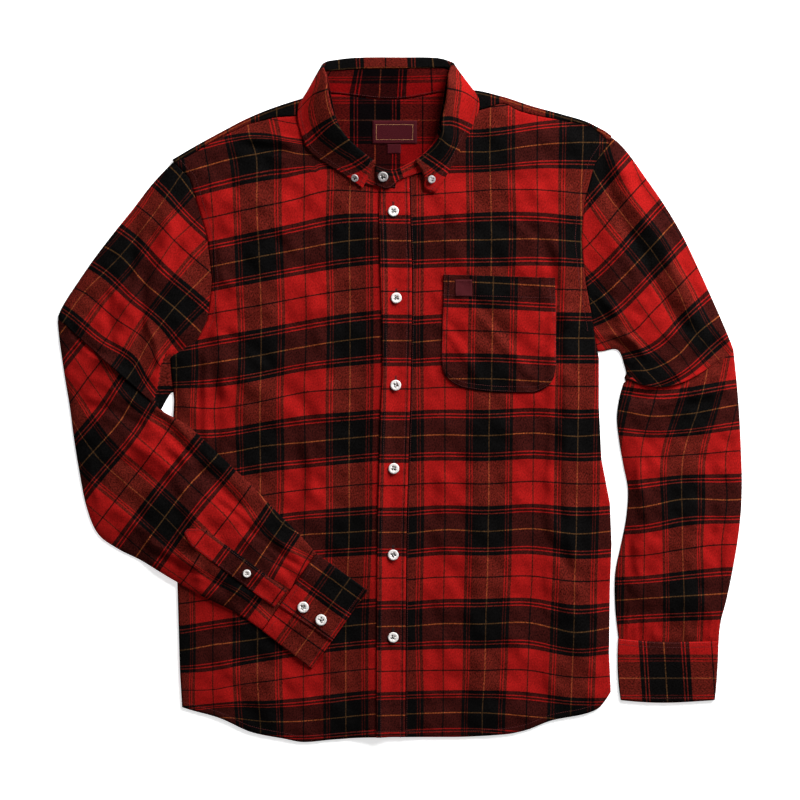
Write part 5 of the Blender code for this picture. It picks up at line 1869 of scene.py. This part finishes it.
@dataclass
class Cuffs:
    """The right cuff, lapped over itself, and the left one, whose opening faces the ground."""

    room: Workroom
    seam: tuple = ((-99, -181), (-162, -272))
    edge: tuple = ((-38, -225), (-104, -317))
    lap: tuple = (0.682, 0.647)
    height: float = 70.0
    wall: float = 1.3
    stitch: float = 5.5
    left_columns: int = 44
    left: tuple = rows_of(
        Station, (376.5, -284.8, 257.5, -281.8, 2.4, 0), (376, -300, 256.8, -300, 0, 0),
        (375, -320, 257, -320, 0, 0), (373.5, -340, 258.5, -340, 1, 0), (372, -354.5, 260.5, -354.5, 3, 0),
    )

    def right_path(self, width: float, lap: float) -> Array:
        """Reach and rise of the strip's outer face, from under its lap round the wrist and back.

        Args:
            width: The flat cuff's width at this row.
            lap: Where the lap ends.

        Returns:
            Points 1.5 mm apart.
        """
        layer = self.room.form.cuff_wall + self.room.form.gap
        turn = layer / 2
        path = [(0.42 * width, layer), (0.6 * width, layer), (0.8 * width, layer), (width - turn, layer)]
        arc = np.linspace(0, math.pi, 9)[1:-1]
        path += [(width - turn + turn * math.sin(a), turn + turn * math.cos(a)) for a in arc]
        path += [(width - turn + (2 * turn - width) * t, 0) for t in np.linspace(0, 1, 8)]
        path += [(turn - turn * math.sin(a), turn - turn * math.cos(a)) for a in arc]
        path += [(turn, layer), (0.14 * width, layer * 1.05), (0.24 * width, layer * 1.4),
                 (0.33 * width, layer * 1.8), (0.4 * width, 2 * layer), (lap, 2 * layer)]
        path = np.array(path)
        travel = travelled(path)
        turns = np.sort(np.concatenate((np.linspace(0, travel[-1], 170), travel[4:11], travel[19:26])))
        return np.stack([np.interp(turns, travel, path[:, k]) for k in (0, 1)] + [turns], 1)

    def right_cuff(self) -> Sheet:
        """The buttoned cuff."""
        form = self.room.form
        rows, weaves = [], []
        for far in eased(26, 0.4):
            seam = [np.array(self.seam[k]) + (np.array(self.edge[k]) - np.array(self.seam[k])) * far
                    for k in (0, 1)]
            width = np.linalg.norm(seam[1] - seam[0]) - 2 * form.gap
            along = (seam[1] - seam[0]) / np.linalg.norm(seam[1] - seam[0])
            lap = (self.lap[0] + (self.lap[1] - self.lap[0]) * far) * width
            path = self.right_path(width, lap)
            spot = seam[0] + along * form.gap + along * path[:, :1]
            side = min(far, 1 - far) * self.height
            ends = np.minimum(path[-1, 2] - path[:, 2], 3.0)
            soft = 0.35 * (1 - smooth(side / 2.5)) + 0.3 * (1 - smooth(ends / 2.5))
            pucker = 0.12 * np.sin(path[:, 2] / 2.3) * math.exp(-((side - 5) / 3) ** 2)
            z = form.sleeve_bed(spot[:, 0], spot[:, 1]) + form.cuff_wall / 2 + path[:, 1]
            z = z + np.where(path[:, 1] > form.cuff_wall, pucker - soft, 0)
            rows.append(np.column_stack((spot, z)))
            first = path[np.argmax(path[:, 0] > width - 1.8), 2]
            start = path[np.argmax((path[:, 0] < 2) & (path[:, 1] > 0.9)), 2]
            inner = 0.42 * width - 31.7
            run = np.interp(path[:, 2], (0, first, start), (inner, inner + first, 211.7))
            run = np.where(path[:, 2] > start, 211.7 + path[:, 2] - start, run)
            weaves.append(np.column_stack((np.full(len(path), far * self.height - 46), run)))
        sheet = Sheet("cuff_right_cloth", np.array(rows), [np.array(weaves) * MM])
        made = sheet.build(self.room.finishes.plaid, self.wall, 0.0)
        self.room.sheet(made, ["cuff_right"], (0.285, 0.07), "folded", ["front_right_cloth"], 0.0195)
        return sheet

    def left_cuff(self) -> Sheet:
        """The closed cuff."""
        form = self.room.form
        thick = 2 * form.cuff_wall + form.gap
        half = thick / 2
        rows = resampled(between(self.left, 16), 2.6)
        width = (rows[:, 0] - rows[:, 2])[:, None]
        turns = (-50, -25, 0, 25, 50)
        ring = [(0.008 + 0.984 * part + 0 * width, thick) for part in eased(self.left_columns, 0.4)]
        ring += rolled(half / width, half, turns, True)
        ring += [(part + 0 * width, 0.0) for part in np.linspace(0.97, 0.03, 12)]
        ring += rolled(half / width, half, turns[::-1], False)
        part = np.concatenate([share for share, _ in ring], 1)
        rise = np.array([rise for _, rise in ring])[None, :]
        ox, oy, ix, iy, bow = (rows[:, None, k] for k in range(5))
        x = ox + (ix - ox) * part
        y = oy + (iy - oy) * part - bow * np.sin(math.pi * part) * (0.7 + 0.6 * part)
        far = np.linspace(0, 1, len(rows))[:, None] * self.height
        side = np.minimum(far, self.height - far)
        top = rise > half
        soft = 0.5 * (1 - smooth(side / 3)) + 0.2 * np.exp(-((side - 5.5) / 1.2) ** 2)
        pucker = 0.14 * np.sin(x / 2.2 + np.sin(x / 9)) * np.exp(-((side - 5) / 3.5) ** 2)
        wave = 0.5 * np.sin(x / 17 + 0.6) * np.sin(math.pi * far / self.height) * smooth(part / 0.1)
        wave *= smooth((1 - part) / 0.1)
        z = rise + np.where(top, pucker - soft + 0.3 + abs(wave), 0)
        across = x - 311.2 + 0.065 * (y + 283) + np.where(top, 0.0, 60)
        weave = np.stack((-328.4 - y, across), 2) * MM
        sheet = Sheet("cuff_left_cloth", np.stack((x, y, z), 2), [weave], closed=True)
        made = sheet.build(self.room.finishes.plaid, self.wall)
        self.room.sheet(made, ["cuff_left"], (0.24, 0.07), "laid", [], 0.0168)
        return Sheet("cuff_left_top", sheet.points[:, :self.left_columns], [weave])

    def build(self) -> None:
        """Makes both cuffs and their stitches."""
        right = self.right_cuff()
        left = self.left_cuff()
        lift = self.wall / 2 + 0.05
        half = right.points.shape[1] // 2
        upper = Sheet("cuff_right_top", right.points[:, half:], [])
        lower = Sheet("cuff_right_under", right.points[:, :half // 2], [])
        runs = ((upper, "foot", self.stitch, 14), (upper, "head", self.stitch, 14),
                (upper, "last", self.stitch, 0), (upper, "last", 1.5, 0),
                (lower, "foot", self.stitch, 24), (lower, "head", self.stitch, 24))
        lines = [piece.inset(side, distance, lift)[first:] for piece, side, distance, first in runs]
        lines += [left.inset("foot", 1.6), left.inset("foot", 6.5), left.inset("head", self.stitch)]
        self.room.sew("cuff_stitches", lines)


# ================================================================ buttons
class Fastening(NamedTuple):
    """A button: its node, its place, its size, its tilt, and which way its holes' threads run."""

    node: str
    x: float
    y: float
    z: float
    diameter: float
    tilt: float
    lean: float
    turn: float


BUTTONS = rows_of(
    Fastening, ("button_front_1", -7.8, 222.8, 0, 12.7, 0, 0, 8),
    ("button_front_2", -4.4, 120.3, 0, 12.7, 0, 0, 0), ("button_front_3", -5, 17.4, 0, 12.7, 0, 0, 20),
    ("button_front_4", -7.3, -80.8, 0, 12.7, 0, 0, -12), ("button_front_5", -8, -182.7, 0, 12.7, 0, 0, 30),
    ("button_front_6", -8, -280, 0, 12.5, 0, 0, -5), ("button_neck", -20, 263.2, 9.4, 12.2, -4, 16, 10),
    ("button_collar_right", -53, 261.6, 8.5, 9.0, -18, 17, 25),
    ("button_collar_left", 37, 260, 9.2, 9.4, 13, 10, -20), ("button_cuff_1", -114, -244, 0, 13.2, 0, 0, 15),
    ("button_cuff_2", -93, -259, 0, 13.2, 0, 0, 40), ("button_sleeve_placket", -180, -204, 0, 9.4, 0, 0, 0),
)


@dataclass
class Buttons:
    """Four-hole buttons with their thread, and the buttonholes under them."""

    room: Workroom
    placket: Sheet
    thickness: float = 2.5
    hole: float = 0.052
    spread: float = 0.18
    profile: tuple = ((0.70, 0.0), (0.86, 0.06), (0.97, 0.22), (1.0, 0.45), (0.985, 0.68), (0.93, 0.86),
                      (0.86, 0.97), (0.79, 0.985), (0.73, 0.96), (0.67, 0.935), (0.60, 0.93))
    sides: int = 48
    bore_sides: int = 12
    slit_reach: float = 8.6
    slit_half: float = 0.62

    def disc(self, button: Fastening) -> tuple:
        """The button's mesh about its own middle.

        Args:
            button: Its table row.

        Returns:
            Points in mm, faces, the holes' places and the height.
        """
        radius = button.diameter / 2
        height = self.thickness * (0.8 + 0.2 * button.diameter / 13.2)
        points, faces = [], []
        angle = np.linspace(0, 2 * math.pi, self.sides, endpoint=False)
        for reach, rise in self.profile:
            points += [(radius * reach * math.cos(a), radius * reach * math.sin(a), height * rise)
                       for a in angle]
        for j in range(len(self.profile) - 1):
            for i in range(self.sides):
                k = (i + 1) % self.sides
                faces.append((j * self.sides + i, j * self.sides + k, (j + 1) * self.sides + k,
                              (j + 1) * self.sides + i))
        holes = [(button.diameter * self.spread * math.cos(math.radians(q + button.turn)),
                  button.diameter * self.spread * math.sin(math.radians(q + button.turn)))
                 for q in (45, 135, 225, 315)]
        bore = button.diameter * self.hole
        around = np.linspace(0, 2 * math.pi, self.bore_sides, endpoint=False)
        rings = [[(hx + bore * math.cos(a), hy + bore * math.sin(a)) for a in around] for hx, hy in holes]
        levels = {}
        for level, rim in enumerate((0, len(self.profile) - 1)):
            outline = [Vector(points[rim * self.sides + i][:2]) for i in range(self.sides)]
            flat = outline + [Vector(spot) for ring in rings for spot in ring]
            loops, at = [list(range(self.sides))], self.sides
            for ring in rings:
                loops.append(list(range(at, at + len(ring))))
                at += len(ring)
            _, _, cut, _, _, origin = delaunay_2d_cdt(flat, [], loops, 1, 1e-6)
            start = len(points)
            points += [(spot.x, spot.y, height * self.profile[rim][1]) for spot in flat[self.sides:]]
            levels[level] = start

            def number(k: int) -> int:
                """The button's own number of a point of the cut."""
                return rim * self.sides + k if k < self.sides else start + k - self.sides

            for face, source in zip(cut, origin):
                middle = sum((flat[k] for k in face), Vector((0, 0))) / len(face)
                if all((middle - Vector(spot)).length > bore * 0.9 for spot in holes):
                    turned = [number(k) for k in face]
                    faces.append(tuple(turned if level else reversed(turned)))
        for ring in range(len(holes)):
            for k in range(self.bore_sides):
                m = (k + 1) % self.bore_sides
                a, b = (levels[level] + ring * self.bore_sides for level in (0, 1))
                faces.append((a + m, a + k, b + k, b + m))
        return points, faces, holes, height

    def foot(self, button: Fastening) -> float:
        """Height of the button's underside."""
        form = self.room.form
        x, y = np.array(button.x, float), np.array(button.y, float)
        if "cuff" in button.node:
            return float(form.sleeve_bed(x, y)) + 3 * (form.cuff_wall + form.gap) + form.gap
        if "placket" in button.node:
            return float(self.placket.rest(np.array(((button.x, button.y),)))[0]) + form.gap
        if "front" in button.node:
            turn = np.linspace(0, 2 * math.pi, 12, endpoint=False)
            ring = form.band_top(x + 6 * np.cos(turn), y + 6 * np.sin(turn))
            return float(ring.max()) + form.gap
        return button.z

    def build(self) -> None:
        """Makes every button, its thread and the buttonholes."""
        holes_lines = []
        for button in BUTTONS:
            points, faces, holes, height = self.disc(button)
            foot = self.foot(button)
            tilt, lean = math.radians(button.tilt), math.radians(button.lean)
            spin_y = np.array(((math.cos(tilt), 0, math.sin(tilt)), (0, 1, 0),
                               (-math.sin(tilt), 0, math.cos(tilt))))
            spin_x = np.array(((1, 0, 0), (0, math.cos(lean), -math.sin(lean)),
                               (0, math.sin(lean), math.cos(lean))))
            spin = spin_y @ spin_x
            seat = np.array((button.x, button.y, foot))
            mesh = bpy.data.meshes.new(button.node + "_pearl")
            mesh.from_pydata(((np.array(points) @ spin.T + seat) * MM).tolist(), [], faces)
            mesh.validate()
            mesh.shade_smooth()
            mesh.set_sharp_from_angle(angle=math.radians(38))
            # Buttons up on the collar take the pearl with painted shade.
            finish = self.room.finishes.pearl if button.z == 0 else self.room.finishes.painted_shade_pearl
            made = placed(button.node + "_pearl", mesh, finish)
            self.room.hand_in(made, "button", button.node)
            lines = []
            level = height * 0.93 + 0.03
            for first, second in ((0, 1), (3, 2)):
                a, b = np.array(holes[first]), np.array(holes[second])
                line = [(*a, level - 1.2), (*(a * 0.9 + b * 0.1), level), (*(a + b) / 2, level + 0.05),
                        (*(a * 0.1 + b * 0.9), level), (*b, level - 1.2)]
                lines.append(np.array(line) @ spin.T + seat)
            self.room.sew(button.node + "_thread", lines, self.room.finishes.white_thread, pitch=0.5,
                          thick=0.2, share=1.6)
            if "front" in button.node:
                holes_lines += self.slit(button.x, button.y + 2.6)
        self.room.sew("buttonhole_stitches", holes_lines, self.room.finishes.black_thread, pitch=0.55,
                      thick=0.95, share=1.1)

    def slit(self, x: float, y: float) -> list:
        """The two close-stitched lips of a buttonhole."""
        along = y + np.linspace(-self.slit_reach, self.slit_reach, 20)
        lips = (np.full(len(along), x + aside) for aside in (-self.slit_half, self.slit_half))
        return [np.column_stack((lip, along, self.room.form.band_top(lip, along) + 0.05)) for lip in lips]


# ================================================================ studio
@dataclass
class Studio:
    """Floor, light and camera."""

    finishes: Finishes
    view_width: float = 0.944
    distance: float = 3.0
    sensor: float = 36.0
    floor_half: float = 6.0
    floor_level: float = -0.0006
    key: float = 203.0
    fill: float = 7.0
    surround: float = 0.16

    def floor(self) -> None:
        """A plain pale floor."""
        mesh = bpy.data.meshes.new("floor")
        corners = [(x * self.floor_half, y * self.floor_half, self.floor_level)
                   for x, y in ((-1, -1), (1, -1), (1, 1), (-1, 1))]
        mesh.from_pydata(corners, [], [(0, 1, 2, 3)])
        placed("floor", mesh, self.finishes.floor)

    def lamp(self, name: str, place: tuple, size: float, power: float) -> None:
        """A large soft lamp aimed at the shirt.

        Args:
            name: Its name.
            place: Where it hangs, in metres.
            size: Side of its square, in metres.
            power: In watts.
        """
        data = bpy.data.lights.new(name, "AREA")
        data.size = size
        data.energy = power
        made = bpy.data.objects.new(name, data)
        made.location = place
        made.rotation_mode = "QUATERNION"
        made.rotation_quaternion = (-Vector(place)).to_track_quat("-Z", "Y")
        bpy.context.scene.collection.objects.link(made)

    def camera(self) -> None:
        """Straight down, with a long lens."""
        data = bpy.data.cameras.new("camera")
        data.sensor_width = self.sensor
        data.lens = self.sensor * self.distance / self.view_width
        made = bpy.data.objects.new("camera", data)
        made.location = (0.0, 0.0, self.distance + 0.005)
        bpy.context.scene.collection.objects.link(made)
        bpy.context.scene.camera = made

    def build(self) -> None:
        """Sets the studio up."""
        self.camera()
        self.floor()
        self.lamp("key", (1.5, 1.9, 1.2), 1.8, self.key)
        self.lamp("fill", (-1.2, -0.4, 2.6), 2.2, self.fill)
        world = bpy.data.worlds.new("studio")
        world.use_nodes = True
        colour, strength = world.node_tree.nodes["Background"].inputs[:2]
        colour.default_value = (1, 1, 1, 1)
        strength.default_value = self.surround
        bpy.context.scene.world = world
        bpy.context.scene.view_settings.view_transform = "Standard"


def main() -> None:
    """Builds the shirt and its studio, in order."""
    logging.basicConfig(level=logging.INFO, format="%(name)s %(message)s")
    form = BodyForm()
    finishes = Finishes()
    room = Workroom(form, finishes, StitchTree())
    Studio(finishes).build()
    Body(room).build()
    Yoke(room).build()
    Pocket(room).build()
    Patch(room, "pocket_patch", 65, 85, 122, 142, lambda x, y: form.pocket_top(x, y) + form.cloth,
          "hide", "pocket_cloth", 1.6, "dark_thread").build()
    Patch(room, "neck_label", -33, 20, 302.4, 330, form.yoke_top, "burgundy", "yoke_cloth", 5.0).build()
    Patch(room, "size_tab", -15, 1, 291, 302, form.yoke_top, "burgundy", "yoke_cloth", 0.0).build()
    Collar(room).build()
    sleeve = Sleeve(
        room, "sleeve_right", SLEEVE_RIGHT, 8, LEFT_EDGE, 0.9, UPPER_RIGHT_PINS, FOREARM_RIGHT_PINS,
        RIGHT_SLEEVE_FOLDS, form.sleeve_bed, (0.36, 0.66), 0.21, ("front_right_cloth",), turned_in=ARMPIT,
    ).build()
    Sleeve(
        room, "sleeve_left", SLEEVE_LEFT, 9, RIGHT_EDGE, -0.4, UPPER_LEFT_PINS, FOREARM_LEFT_PINS,
        LEFT_SLEEVE_FOLDS, form.ground, (0.36, 0.60), 0.19, (), lap_fade=58.0, tuck=1.1,
    ).build()
    placket = SleevePlacket(room, sleeve).build()
    Cuffs(room).build()
    Buttons(room, placket).build()


if __name__ == "__main__":
    main()
